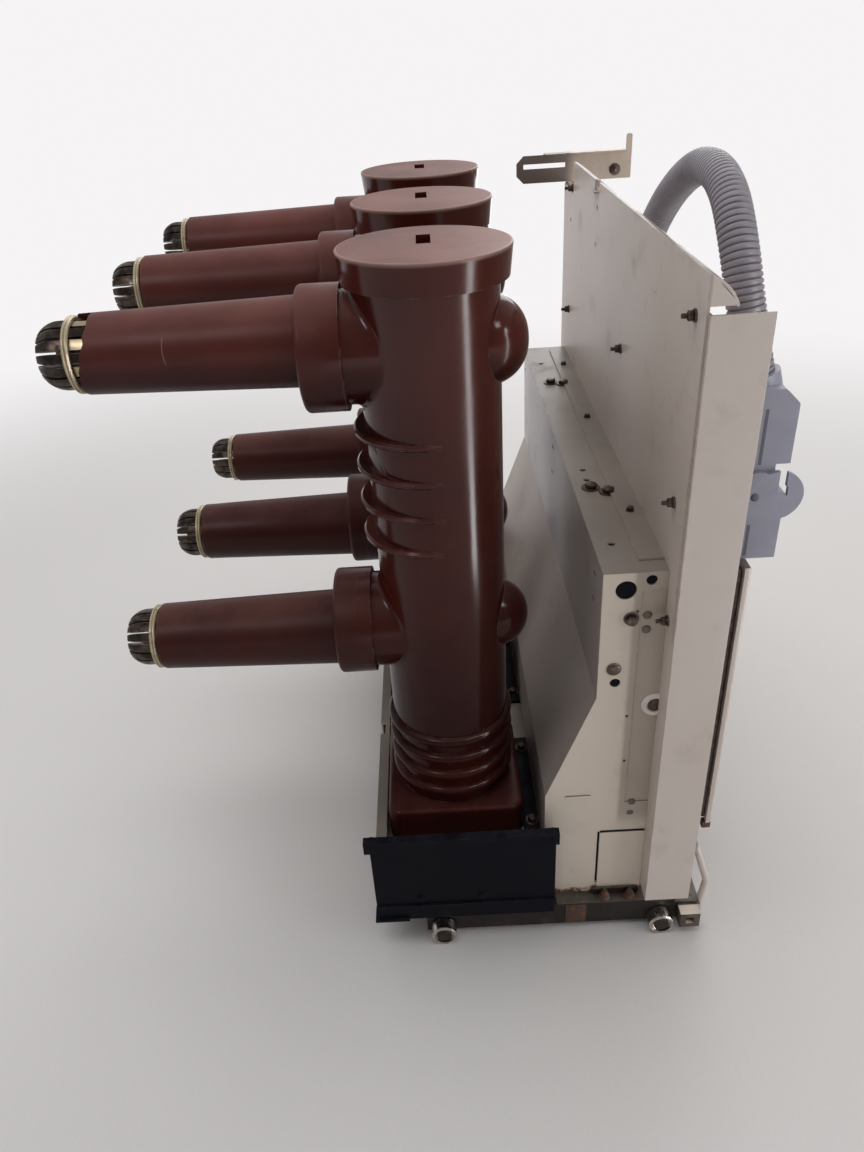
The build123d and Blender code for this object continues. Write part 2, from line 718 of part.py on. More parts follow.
def truck_rail(side):
    """Channel along a side of the truck, with the two axle stubs."""
    top = HOUSING_BOTTOM - FLOOR_PLATE
    web = side * (RAIL_OUT - RAIL_WALL)
    outer = side * RAIL_OUT
    inner = side * (RAIL_OUT - RAIL_FLANGE)
    rail = block(web, outer, -RAIL_REAR, BEAM_BACK, RAIL_BOTTOM, top)
    rail += block(inner, outer, -RAIL_REAR, BEAM_BACK, top - RAIL_WALL, top)
    rail += block(inner, outer, -RAIL_REAR, BEAM_BACK, RAIL_BOTTOM, RAIL_BOTTOM + RAIL_WALL)
    return rail + axle(side, -ROLLER_REAR) + axle(side, ROLLER_FRONT)


def roller(side, depth):
    start = side * (RAIL_OUT + ROLLER_GAP)
    end = side * (RAIL_OUT + ROLLER_GAP + ROLLER_LENGTH)
    wheel = disc(start, end, depth, ROLLER_RADIUS, ROLLER_RADIUS)
    wheel = chamfer(wheel.edges().filter_by(GeomType.CIRCLE), ROLLER_EDGE)
    recess = side * (RAIL_OUT + ROLLER_GAP + ROLLER_LENGTH - ROLLER_RECESS)
    wheel -= disc(recess, end, depth, ROLLER_RADIUS, ROLLER_RADIUS - ROLLER_RIM)
    return wheel - disc(start, recess, depth, ROLLER_RADIUS, AXLE_RADIUS + AXLE_CLEARANCE)


def front_beam():
    """Channel across the truck's front, open towards the operator."""
    beam = block(-RAIL_OUT, RAIL_OUT, BEAM_BACK, BEAM_BACK + BEAM_WALL, RAIL_BOTTOM, BEAM_TOP)
    beam += block(-RAIL_OUT, RAIL_OUT, BEAM_BACK, BEAM_FRONT, BEAM_TOP - BEAM_WALL, BEAM_TOP)
    return beam + block(-RAIL_OUT, RAIL_OUT, BEAM_BACK, BEAM_FRONT, RAIL_BOTTOM, RAIL_BOTTOM + BEAM_WALL)


def latch_tongue(side):
    """Locking tongue that slides in the end of the front beam."""
    outer = side * TONGUE_OUT
    inner = side * (TONGUE_OUT - TONGUE_LENGTH)
    bottom = RAIL_BOTTOM + BEAM_WALL + TONGUE_CLEARANCE
    top = BEAM_TOP - BEAM_WALL - TONGUE_CLEARANCE
    back = BEAM_BACK + BEAM_WALL + TONGUE_CLEARANCE
    tongue = block(inner, outer, back, BEAM_FRONT, bottom, top)
    middle = (bottom + top) / 2
    depth = (back + BEAM_FRONT) / 2
    return tongue - block(
        side * (TONGUE_OUT - TONGUE_SLOT_LENGTH), outer,
        depth - TONGUE_SLOT_HEIGHT / 2, depth + TONGUE_SLOT_HEIGHT / 2,
        middle - TONGUE_SLOT_HEIGHT / 2, middle + TONGUE_SLOT_HEIGHT / 2,
    )


def latch_handle(side):
    """Bent rod handle on its foot plate, which is screwed to the tongue."""
    outer = TONGUE_OUT - TONGUE_SLOT_LENGTH
    inner = outer - FOOT_LENGTH
    foot_front = BEAM_FRONT + FOOT_THICK
    foot_top = BEAM_TOP - BEAM_WALL - TONGUE_CLEARANCE
    handle = block(side * inner, side * outer, BEAM_FRONT, foot_front, FOOT_BOTTOM, foot_top)
    leg = outer - (FOOT_LENGTH - HANDLE_WIDTH) / 2
    far_leg = leg - HANDLE_WIDTH
    near = [
        (leg, HANDLE_LEG_DEPTH, FOOT_BOTTOM),
        (leg, HANDLE_LEG_DEPTH, foot_top),
        (leg, HANDLE_KNEE_DEPTH, HANDLE_KNEE),
        (leg, HANDLE_TOP_DEPTH, HANDLE_TOP),
    ]
    far = [(far_leg, depth, z) for x, depth, z in reversed(near)]
    route = [(side * x, at_y(depth), z) for x, depth, z in near + far]
    path = FilletPolyline(*route, radius=HANDLE_BEND)
    section = Plane(origin=route[0], z_dir=(0, 0, 1)) * Circle(HANDLE_ROD_RADIUS)
    return handle + sweep(section, path=path)


def corner_bracket():
    """Slotted bracket in the notch of the shield, bolted to the pan's flange."""
    outer = HALF_WIDTH - SHEET
    inner = outer - SHEET
    arm = prism(inner, outer, [
        (BRACKET_REAR, BRACKET_BOTTOM + BRACKET_CHAMFER),
        (BRACKET_REAR, BRACKET_TOP - BRACKET_CHAMFER),
        (BRACKET_REAR + BRACKET_CHAMFER, BRACKET_TOP),
        (BRACKET_FRONT, BRACKET_TOP),
        (BRACKET_FRONT, BRACKET_BOTTOM),
        (BRACKET_REAR + BRACKET_CHAMFER, BRACKET_BOTTOM),
    ])
    arm -= block(
        inner, outer, BRACKET_SLOT_START, BRACKET_SLOT_END,
        BRACKET_SLOT_Z - BRACKET_SLOT_HEIGHT / 2, BRACKET_SLOT_Z + BRACKET_SLOT_HEIGHT / 2,
    )
    arm += block(
        inner - BRACKET_LEDGE_OUT, outer, BRACKET_LEDGE_START, BRACKET_LEDGE_END,
        BRACKET_TOP, BRACKET_TOP + SHEET,
    )
    hook_top = BRACKET_TOP + BRACKET_HOOK_HEIGHT
    hook = block(inner, outer, BRACKET_FRONT - BRACKET_HOOK_WIDTH, BRACKET_FRONT, BRACKET_TOP, hook_top)
    arm += fillet(hook.edges().filter_by(Axis.X).sort_by(Axis.Z)[-2:], BRACKET_HOOK_EDGE)
    tab_bottom = BRACKET_BOTTOM - BRACKET_TAB_DROP
    return arm + block(inner, outer, BRACKET_TAB_START, BRACKET_TAB_END, tab_bottom, BRACKET_BOTTOM)


def conduit_gland():
    nut = extrude(RegularPolygon(GLAND_NUT / 2, 6, major_radius=False), amount=GLAND_NUT_HEIGHT)
    gland = nut + Pos(0, 0, GLAND_HEIGHT / 2) * Cylinder(GLAND_RADIUS, GLAND_HEIGHT)
    return Pos(GLAND_X, at_y(GLAND_DEPTH), HOUSING_TOP) * gland


def hose_path():
    points = [Vector(x, at_y(depth), z) for x, depth, z in HOSE_ROUTE]
    runs = [(end - start).length for start, end in zip(points, points[1:])]
    radii = []
    for index in range(1, len(points) - 1):
        turn = (points[index] - points[index - 1]).get_angle(points[index + 1] - points[index])
        shorter = min(runs[index - 1], runs[index])
        radii.append(0.45 * shorter / math.tan(math.radians(turn / 2)))
    return FilletPolyline(*points, radius=radii), radii


def conduit():
    path, radii = hose_path()
    tube = sweep(Plane(path ^ 0) * Circle(HOSE_RADIUS), path=path)
    print("hose radii", [round(radius) for radius in radii])
    expected = math.pi * HOSE_RADIUS ** 2 * path.length
    print("hose length", round(path.length), "volume ratio", round(tube.volume / expected, 4))
    return tube


def plug():
    """Moulded connector that stands on the mechanism case, with the conduit in its neck."""
    x0 = PLUG_X - PLUG_WIDTH / 2
    x1 = PLUG_X + PLUG_WIDTH / 2
    body = block(x0, x1, PLUG_BACK, PLUG_FRONT, HOUSING_TOP + COVER_LAP, PLUG_TOP)
    body = chamfer(body.edges().filter_by(Axis.X).sort_by(Axis.Z)[-2:], PLUG_SHOULDER)
    body = fillet(body.edges().filter_by(Axis.X).sort_by(Axis.Z)[-4:], PLUG_CORNER)
    for depth in PLUG_GROOVES:
        body -= block(
            x0, x0 + PLUG_GROOVE_DEPTH, depth, depth + PLUG_GROOVE_WIDTH,
            PLUG_GROOVE_BOTTOM, PLUG_GROOVE_TOP,
        )
    body -= block(
        x0, x1, PLUG_FRONT - PLUG_NOTCH, PLUG_FRONT,
        LEVER_PIN_Z, LEVER_PIN_Z + PLUG_NOTCH_HEIGHT,
    )
    body += Plane(hose_path()[0] ^ 1) * extrude(Circle(PLUG_NECK_RADIUS), amount=PLUG_NECK_LENGTH)
    pin_end = x0 - LEVER_GAP - LEVER_THICK
    return body + disc(pin_end, x0, LEVER_PIN_DEPTH, LEVER_PIN_Z, LEVER_PIN_RADIUS)


def plug_lever():
    """Locking lever on the plug's side, with a finger window."""
    inner = PLUG_X - PLUG_WIDTH / 2 - LEVER_GAP
    outer = inner - LEVER_THICK
    lever = disc(outer, inner, LEVER_PIN_DEPTH, LEVER_PIN_Z, LEVER_RADIUS)
    lobe_depth = LEVER_PIN_DEPTH + LEVER_LOBE
    lever += disc(outer, inner, lobe_depth, LEVER_PIN_Z, LEVER_RADIUS)
    window = LEVER_PIN_DEPTH + LEVER_LOBE
    lever -= block(
        outer, inner, window, window + LEVER_WINDOW,
        LEVER_PIN_Z, LEVER_PIN_Z + LEVER_WINDOW,
    )
    return lever - disc(outer, inner, LEVER_PIN_DEPTH, LEVER_PIN_Z, LEVER_PIN_RADIUS + LEVER_PIN_CLEARANCE)


def all_parts():
    nodes = {}
    for index in range(POLE_COUNT):
        number = index + 1
        nodes[f"pole_{number}"] = pole(index)
        nodes[f"pole_cap_{number}"] = pole_cap(index)
        for level, z in (("upper", UPPER_ARM), ("lower", LOWER_ARM)):
            shape = broken_sleeve if (number, z) == BROKEN_SLEEVE else sleeve
            nodes[f"{level}_sleeve_{number}"] = shape(index, z)
            nodes[f"{level}_contact_{number}"] = finger_contact(index, z)
            nodes[f"{level}_garter_{number}"] = garter_ring(index, z)
    nodes["pole_bed"] = pole_bed()
    nodes["mechanism_housing"] = mechanism_housing()
    nodes["front_pan"] = front_pan()
    nodes["rear_shield"] = rear_shield()
    nodes["mechanism_case"] = mechanism_case()
    nodes["front_cover"] = front_cover()
    nodes["truck_floor"] = truck_floor()
    nodes["front_beam"] = front_beam()
    for name, side in (("left", -1), ("right", 1)):
        nodes[f"housing_side_{name}"] = housing_side(side)
        nodes[f"side_cover_{name}"] = side_cover(side)
        nodes[f"truck_rail_{name}"] = truck_rail(side)
        nodes[f"rear_roller_{name}"] = roller(side, -ROLLER_REAR)
        nodes[f"front_roller_{name}"] = roller(side, ROLLER_FRONT)
        nodes[f"latch_tongue_{name}"] = latch_tongue(side)
        nodes[f"latch_handle_{name}"] = latch_handle(side)
    nodes["corner_bracket"] = corner_bracket()
    nodes["conduit_gland"] = conduit_gland()
    nodes["conduit"] = conduit()
    nodes["plug"] = plug()
    nodes["plug_lever"] = plug_lever()
    return nodes


os.makedirs("parts", exist_ok=True)
for name, shape in all_parts().items():
    export_step(shape, f"parts/{name}.step")
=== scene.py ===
"""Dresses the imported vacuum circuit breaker: its finishes, fasteners, conduit, camera and light."""

import json
import math

import bmesh
import bpy
from mathutils import Matrix, Vector

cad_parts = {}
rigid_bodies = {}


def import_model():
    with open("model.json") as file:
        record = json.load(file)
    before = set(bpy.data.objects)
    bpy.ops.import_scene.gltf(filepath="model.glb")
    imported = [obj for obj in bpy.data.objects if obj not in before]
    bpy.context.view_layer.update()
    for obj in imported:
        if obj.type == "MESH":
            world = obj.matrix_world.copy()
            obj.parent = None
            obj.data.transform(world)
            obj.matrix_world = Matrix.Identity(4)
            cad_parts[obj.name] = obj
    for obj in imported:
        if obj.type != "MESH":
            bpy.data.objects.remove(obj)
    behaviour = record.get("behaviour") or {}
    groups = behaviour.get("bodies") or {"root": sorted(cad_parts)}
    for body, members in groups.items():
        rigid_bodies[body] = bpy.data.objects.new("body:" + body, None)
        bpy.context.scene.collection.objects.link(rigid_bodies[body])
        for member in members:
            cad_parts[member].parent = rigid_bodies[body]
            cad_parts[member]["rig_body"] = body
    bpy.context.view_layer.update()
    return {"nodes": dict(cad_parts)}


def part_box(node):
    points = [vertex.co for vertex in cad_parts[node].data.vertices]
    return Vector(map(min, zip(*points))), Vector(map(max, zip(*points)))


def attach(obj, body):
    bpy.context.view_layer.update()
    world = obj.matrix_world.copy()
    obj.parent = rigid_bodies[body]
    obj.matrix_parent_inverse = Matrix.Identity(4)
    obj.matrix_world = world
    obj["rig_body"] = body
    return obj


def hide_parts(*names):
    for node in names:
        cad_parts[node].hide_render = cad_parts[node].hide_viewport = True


bl_info = {
    "name": "Vacuum circuit breaker finish",
    "version": (1, 0, 0),
    "blender": (4, 5, 0),
    "location": "View3D > Sidebar > Breaker",
    "description": "Adds finishes, fasteners, a conduit and a studio to the packed circuit breaker",
    "category": "Object",
}

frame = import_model()

MM = 0.001


# Places on the breaker, in millimetres as in the part's source

def middle_y(node):
    low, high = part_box(node)
    return (low.y + high.y) / 2


POLE_Y = middle_y("pole_cap_2")
PAN_Y = POLE_Y - 0.190
CAP_TOP = 0.692
SIDE_X = 301.0
SHIELD_BACK = 188.0
HOUSING_TOP = 440.0
WALL_DEPTH = 133.0
WALL_Y = POLE_Y - WALL_DEPTH * MM
KNEE_Z = 0.3075
BED_FLOOR = 110.0
TRUCK_FLOOR = 40.0
POLE_PITCH = 210.0
BEHIND = Vector((0, 1, 0))
FORWARD = Vector((0, -1, 0))
UP = Vector((0, 0, 1))
LEFT = Vector((-1, 0, 0))
RIGHT = Vector((1, 0, 0))


def spot(x, depth, z):
    """Point in metres from X, the depth in front of the pole axes and Z, all in millimetres."""
    return Vector((x * MM, POLE_Y - depth * MM, z * MM))


def paint(red, green, blue):
    """Linear colour from the three everyday 0 to 255 values."""
    def linear(value):
        share = value / 255
        return share / 12.92 if share <= 0.04045 else ((share + 0.055) / 1.055) ** 2.4
    return (linear(red), linear(green), linear(blue), 1.0)


# Where a finish changes, from its start to its end, in metres

# Heights over which the painted shade low on the poles fades in
SHADED_LOW_HEIGHT = (0.52, 0.2)
POLE_FOOT_HEIGHT = (0.24, 0.18)
CAP_HEIGHT = (CAP_TOP - 0.004, CAP_TOP - 0.001)
# Radii of the painted highlight round each cap's rim
CAP_RIM_HIGHLIGHT = (0.0665, 0.0678)
ARM_START = (POLE_Y + 0.07, POLE_Y + 0.1)
PAN_REAR = (PAN_Y - 0.001, PAN_Y + 0.001)
# Heights over which the painted shade behind the pan deepens
LOWER_SHADE_HEIGHT = (0.62, 0.46)
FLOOR_LOWER_SHADE_HEIGHT = (0.16, 0.1)
WALL_BACK = (WALL_Y - 0.01, WALL_Y - 0.004)
WALL_FOOT_HEIGHT = (KNEE_Z - 0.0015, KNEE_Z + 0.0015)
WALL_TOP_HEIGHT = (HOUSING_TOP * MM + 0.002, HOUSING_TOP * MM)
# Depths over which the painted shadow next to the pan fades in
PAN_SHADOW_DEPTHS = (POLE_Y - 0.158, POLE_Y - 0.163)
TRAY_RIM_HEIGHT = (0.134, 0.16)
# Heights over which the painted shade on the zinc deepens towards the floor
ZINC_SHADE_HEIGHT = (0.12, 0.06)
TONGUE_END_X = (0.3162, 0.3168)
TONGUE_FRONT = (POLE_Y - 0.228, POLE_Y - 0.229)
# Depths from which the painted shade on sideways zinc faces sets in
SIDE_SHADE_FRONT = (PAN_Y - 0.05, PAN_Y - 0.03)
# Depths over which the painted dark reflection on the bracket sets in
BRACKET_DARK_REFLECTION = (PAN_Y - 0.012, PAN_Y + 0.004)
SCAR_MIDDLE = spot(-246.0, -156.5, 630.0)
SCAR_RADIUS = 0.05
SCAR_SIDE = -0.22
ROOTS_END = 0.281
UPPER_AXIS = 0.622
LOWER_AXIS = 0.34
FINGERS = 16


# What a user would change

def colour_property(name, description, *shade):
    return bpy.props.FloatVectorProperty(
        name=name, description=description, subtype="COLOR", size=4, min=0.0, max=1.0, default=paint(*shade),
    )


def length_property(name, description, default):
    return bpy.props.FloatProperty(
        name=name, description=description, default=default, min=0.0,
        subtype="DISTANCE", unit="LENGTH", precision=4,
    )


def power_property(name, description, default):
    return bpy.props.FloatProperty(
        name=name, description=description, default=default, min=0.0, subtype="POWER",
    )


class BreakerColours(bpy.types.PropertyGroup):
    """Colours of the breaker's finishes."""
    epoxy: colour_property("Epoxy", "Cast resin of the poles and sleeves", 89, 34, 25)
    epoxy_dark: colour_property("Epoxy, dark", "Deeper flow marks in the resin", 69, 27, 22)
    sheet: colour_property("Sheet metal", "Powder coat on the chassis", 225, 213, 206)
    rust: colour_property("Rust", "Rust at raw edges and bolts", 126, 74, 40)
    contact: colour_property("Contacts", "Tarnished finger contacts", 88, 76, 68)
    garter: colour_property("Garter rings", "Pale bands round the fingers", 190, 176, 148)
    conduit: colour_property("Conduit", "Corrugated conduit", 148, 143, 150)
    plug: colour_property("Plug", "Connector and its lever", 152, 152, 168)
    black: colour_property("Black plastic", "Side covers", 6, 7, 18)


class BreakerConduit(bpy.types.PropertyGroup):
    """Sizes of the corrugated conduit."""
    radius: length_property("Radius", "Outer radius at the crest of a ridge", 0.01425)
    pitch: length_property("Ridge pitch", "Distance between two ridges", 0.0046)
    groove: length_property("Groove depth", "Depth of the groove between ridges", 0.0018)
    sides: bpy.props.IntProperty(name="Sides", description="Faces round the conduit", default=32, min=8)


class BreakerFasteners(bpy.types.PropertyGroup):
    """Sizes of the fasteners."""
    bolt: length_property("Bolt head", "Radius across the corners of a hexagon head", 0.0061)
    stud: length_property("Stud nut", "Radius across the corners of a stud's nut", 0.0039)
    screw: length_property("Screw head", "Radius of a small screw's head", 0.0035)


class BreakerStudio(bpy.types.PropertyGroup):
    """The stage round the breaker."""
    floor_size: length_property("Floor", "Width of the studio floor", 14.0)
    floor_colour: colour_property("Floor colour", "Pale studio floor", 214, 212, 210)
    key_power: power_property("Key light", "Power of the overhead soft box", 34.0)
    back_power: power_property("Back light", "Power of the tall soft box behind", 22.0)
    side_power: power_property("Side light", "Power of the soft box that fills the near side", 11.0)
    glint_power: power_property("Glint lights", "Power of each lamp that glints on the creepage rings", 7.0)
    strip_power: power_property("Strip light", "Power of the strip that lights the near pole's edge", 3.8)


# Short words for building a node tree

def node(tree, kind, inputs=None, **settings):
    """Adds a node, sets its options and links or fills its inputs."""
    made = tree.nodes.new(kind)
    for name, value in settings.items():
        setattr(made, name, value)
    for name, value in (inputs or {}).items():
        socket = made.inputs[name]
        if isinstance(value, Field):
            value = value.socket
        if isinstance(value, bpy.types.NodeSocket):
            tree.links.new(value, socket)
        else:
            socket.default_value = value
    return made


def field(tree, kind, output, inputs=None, **settings):
    """Adds a node and hands back one of its outputs as a field."""
    return Field(tree, node(tree, kind, inputs, **settings).outputs[output])


def reckoned(operation):
    """Method that reckons a field with another one or a number."""
    return lambda self, other=0.5: field(
        self.tree, "ShaderNodeMath", 0, {0: self, 1: other}, operation=operation,
    )


class Field:
    """What a socket gives over a surface; each sum, product or fade of it adds a node."""

    def __init__(self, tree, socket):
        self.tree = tree
        self.socket = socket

    __add__ = reckoned("ADD")
    __sub__ = reckoned("SUBTRACT")
    __mul__ = reckoned("MULTIPLY")
    __gt__ = reckoned("GREATER_THAN")
    __lt__ = reckoned("LESS_THAN")
    __abs__ = reckoned("ABSOLUTE")
    most = reckoned("MAXIMUM")
    angle_to = reckoned("ARCTAN2")
    sine = reckoned("SINE")

    def __rsub__(self, other):
        return field(self.tree, "ShaderNodeMath", 0, {0: other, 1: self}, operation="SUBTRACT")

    def length(self):
        return field(self.tree, "ShaderNodeVectorMath", "Value", {0: self}, operation="LENGTH")

    def fade(self, start, end):
        """0 where the value is at start, 1 where it is at end, smooth between them."""
        return field(
            self.tree, "ShaderNodeMapRange", "Result",
            {"Value": self, "From Min": start, "From Max": end}, interpolation_type="SMOOTHSTEP",
        )

    def between(self, low, high):
        """Value that goes from low to high as this one goes from 0 to 1."""
        inputs = {"Value": self, "To Min": low, "To Max": high}
        return field(self.tree, "ShaderNodeMapRange", "Result", inputs)

    def axes(self):
        """X, Y and Z of a vector."""
        split = node(self.tree, "ShaderNodeSeparateXYZ", {"Vector": self})
        return [Field(self.tree, split.outputs[axis]) for axis in "XYZ"]

    def noise(self, scale, detail, roughness=0.55):
        return field(self.tree, "ShaderNodeTexNoise", "Fac", {
            "Vector": self, "Scale": scale, "Detail": detail, "Roughness": roughness,
        })


def tint(value):
    """Colour for a socket: from a setting's name, from 0 to 255 values, or as it is."""
    if isinstance(value, str):
        return tuple(getattr(bpy.context.scene.breaker_colours, value))
    return paint(*value) if isinstance(value, tuple) and len(value) == 3 else value


def mixed(tree, mask, first, second):
    """First colour where the mask is 0, second where it is 1."""
    return field(
        tree, "ShaderNodeMix", 2, {0: mask, 6: tint(first), 7: tint(second)}, data_type="RGBA",
    )


def facing(tree):
    """Direction that the surface faces."""
    return field(tree, "ShaderNodeNewGeometry", "Normal")


# Effects that several materials share, each a shader node group of its own

def uneven_patches(place, scale, start, end):
    """Soft uneven patches, for colour, gloss and dirt."""
    return [place.noise(scale, 5.0, 0.6).fade(start, end)]


def settled_dust(place, scale, amount):
    """Dust on what faces up."""
    upward = facing(place.tree).axes()[2]
    return [upward.fade(0.35, 0.95) * place.noise(scale, 6.0, 0.7).fade(0.25, 0.75) * amount]


def creeping_rust(place, colour, line, spread, amount):
    """Rust that creeps up from a height line, with its own mottled colour."""
    near = place.axes()[2].fade(line + spread, line)
    level = place.noise(70.0, 8.0, 0.72) + near * amount
    dark = mixed(place.tree, 0.72, colour, (48, 30, 22))
    pale = mixed(place.tree, 0.3, colour, (196, 140, 84))
    mottle = place.noise(420.0, 5.0, 0.65).fade(0.35, 0.68)
    return [mixed(place.tree, mottle, dark, pale), level.fade(0.92, 1.08)]


def fine_scratches(place, scale, amount):
    """Fine scattered scratches."""
    bent = field(place.tree, "ShaderNodeTexNoise", "Color", {"Vector": place, "Scale": 9.0, "Detail": 2.0})
    drift = mixed(place.tree, 0.1, place, bent)
    cells = field(
        place.tree, "ShaderNodeTexVoronoi", "Distance",
        {"Vector": drift, "Scale": scale, "Randomness": 1.0}, feature="DISTANCE_TO_EDGE",
    )
    return [cells.fade(0.006, 0.0) * place.noise(17.0, 3.0).fade(0.6, 0.68) * amount]


def worn_edges(place, radius, amount):
    """Edges, found from the rounded normal, broken up by noise."""
    rounded = field(place.tree, "ShaderNodeBevel", "Normal", {"Radius": radius}, samples=4)
    match = field(
        place.tree, "ShaderNodeVectorMath", "Value", {0: rounded, 1: facing(place.tree)},
        operation="DOT_PRODUCT",
    )
    return [match.fade(0.985, 0.87) * place.noise(55.0, 6.0, 0.7).fade(0.45, 0.62) * amount]


EFFECTS = {
    "Uneven patches": (uneven_patches, {"Scale": 10.0, "Start": 0.4, "End": 0.6}, ("Mask",)),
    "Settled dust": (settled_dust, {"Scale": 30.0, "Amount": 0.5}, ("Mask",)),
    "Rust": (
        creeping_rust, {"Colour": paint(126, 74, 40), "Line": 0.04, "Spread": 0.02, "Amount": 0.5},
        ("Color", "Mask"),
    ),
    "Scratches": (fine_scratches, {"Scale": 20.0, "Amount": 0.5}, ("Mask",)),
    "Worn edges": (worn_edges, {"Radius": 0.0015, "Amount": 0.5}, ("Mask",)),
}


def effect_group(name):
    """The shader node group of an effect, built at its first use."""
    if name in bpy.data.node_groups:
        return bpy.data.node_groups[name]
    build, values, results = EFFECTS[name]
    tree = bpy.data.node_groups.new(name, "ShaderNodeTree")
    tree.interface.new_socket(name="Vector", in_out="INPUT", socket_type="NodeSocketVector")
    for socket, value in values.items():
        kind = "NodeSocketColor" if socket == "Colour" else "NodeSocketFloat"
        tree.interface.new_socket(name=socket, in_out="INPUT", socket_type=kind).default_value = value
    for socket in results:
        kind = "NodeSocketColor" if socket == "Color" else "NodeSocketFloat"
        tree.interface.new_socket(name=socket, in_out="OUTPUT", socket_type=kind)
    given = node(tree, "NodeGroupInput").outputs
    made = build(*[Field(tree, given[socket]) for socket in ("Vector", *values)])
    node(tree, "NodeGroupOutput", dict(zip(results, made)))
    return tree


class Coat:
    """A material being made: its colour is laid on coat by coat over the one before."""

    def __init__(self, name, **constants):
        self.material = bpy.data.materials.new(name)
        self.material.use_nodes = True
        self.tree = self.material.node_tree
        self.shader = self.tree.nodes["Principled BSDF"]
        for socket, value in constants.items():
            self.shader.inputs[socket.replace("_", " ")].default_value = value
        self.place = field(self.tree, "ShaderNodeTexCoord", "Object")
        self.colour = None

    def effect(self, name, *values):
        """Places a shared effect with its values and hands back its outputs."""
        inputs = dict(enumerate((self.place, *values)))
        made = node(self.tree, "ShaderNodeGroup", inputs, node_tree=effect_group(name))
        return [Field(self.tree, socket) for socket in made.outputs]

    def patches(self, scale, start, end):
        return self.effect("Uneven patches", scale, start, end)[0]

    def base(self, mask, first, second):
        """Lays the ground coat, from the first colour to the second with the mask."""
        self.colour = mixed(self.tree, mask, first, second)

    def cover(self, mask, colour):
        """Lays a colour over what is there, as far as the mask goes."""
        self.base(mask, self.colour, colour)

    def dust(self, scale, amount, colour):
        mask = self.effect("Settled dust", scale, amount)[0]
        self.cover(mask, colour)
        return mask

    def scratch(self, scale, amount, colour):
        self.cover(self.effect("Scratches", scale, amount)[0], colour)

    def wear(self, radius, amount, colour):
        self.cover(self.effect("Worn edges", radius, amount)[0], colour)

    def rust(self, line, spread, amount):
        colour, mask = self.effect("Rust", tint("rust"), line, spread, amount)
        self.cover(mask, colour)
        return mask

    def finished(self, grain=None, relief=0.0, **varying):
        """Links what varies into the shader, with a grain as relief, and hands back the material."""
        for socket, value in {"Base_Color": self.colour, **varying}.items():
            self.tree.links.new(value.socket, self.shader.inputs[socket.replace("_", " ")])
        if grain:
            height = self.place.noise(*grain) if isinstance(grain, tuple) else grain
            inputs = {"Height": height, "Strength": 1.0, "Distance": relief}
            bump = node(self.tree, "ShaderNodeBump", inputs)
            self.tree.links.new(bump.outputs["Normal"], self.shader.inputs["Normal"])
        return self.material


# Finishes

def from_pole(x):
    """X measured from the nearest pole's axis."""
    pitch = POLE_PITCH * MM
    wrapped = field(x.tree, "ShaderNodeMath", 0, {0: x + pitch / 2, 1: pitch, 2: 0.0}, operation="WRAP")
    return wrapped - pitch / 2


def pole_radius(x, y):
    """Distance from the nearest pole's axis."""
    return field(x.tree, "ShaderNodeCombineXYZ", "Vector", {"X": from_pole(x), "Y": y - POLE_Y}).length()


def round_scar(x, y, z):
    """Thin arc that is scratched into the near upper sleeve."""
    away = field(x.tree, "ShaderNodeCombineXYZ", "Vector", {
        "Y": y - SCAR_MIDDLE.y, "Z": z - SCAR_MIDDLE.z,
    })
    off_arc = abs(away.length() - SCAR_RADIUS)
    off_middle = abs(away.axes()[2])
    arc = off_arc.fade(0.0007, 0.0002) * off_middle.fade(0.011, 0.008)
    return arc * (y > SCAR_MIDDLE.y) * (x < SCAR_SIDE)


def epoxy_finish():
    """Glossy cast resin: flow marks, rubbed patches, dusty caps with a painted sheen, a painted rim
    highlight, paler edges that are partly painted highlight, and painted shade where it faces down and low on
    the body.
    """
    coat = Coat("Cast epoxy")
    coat.base(coat.patches(5.0, 0.35, 0.68), "epoxy_dark", "epoxy")
    coat.cover(coat.patches(46.0, 0.3, 0.75) * 0.08, (116, 62, 50))
    x, y, z = coat.place.axes()
    # Painted shade: the resin is darkened where it faces down and low on the body, less so at the pole's
    # foot.
    shaded_under = facing(coat.tree).axes()[2].fade(0.25, -0.7) * 0.75
    low = z.fade(*SHADED_LOW_HEIGHT)
    shaded_lowness = low * z.fade(*POLE_FOOT_HEIGHT).between(0.85, 0.45)
    coat.cover(shaded_under.most(shaded_lowness), (34, 12, 11))
    on_cap = z.fade(*CAP_HEIGHT)
    # The pale dust laid thicker on the cap tops is partly real dust and partly a painted sheen.
    dust = coat.dust(5.0, on_cap * 0.34 + 0.14, (168, 130, 119))
    # Painted highlight: a pale line round the rim of each cap's top.
    rim = on_cap * pole_radius(x, y).fade(*CAP_RIM_HIGHLIGHT)
    coat.cover(rim * 0.45, (190, 158, 146))
    coat.scratch(34.0, 0.12, (150, 104, 92))
    # Paler edges: partly wear and partly a painted highlight along the edges and ribs.
    coat.wear(0.0016, 0.4, (176, 138, 126))
    coat.cover(round_scar(x, y, z) * 0.6, (150, 110, 100))
    on_arm = y.fade(*ARM_START)
    gloss = coat.patches(11.0, 0.35, 0.65).between(0.15, 0.22) + on_arm * 0.22 + (dust + on_cap) * 0.2
    ripple = coat.place.noise(38.0, 2.0) + coat.place.noise(900.0, 2.0) * 0.08
    shine = shaded_under.most(low).between(0.29, 0.13)
    return coat.finished(ripple, 0.0001, Roughness=gloss, Specular_IOR_Level=shine)


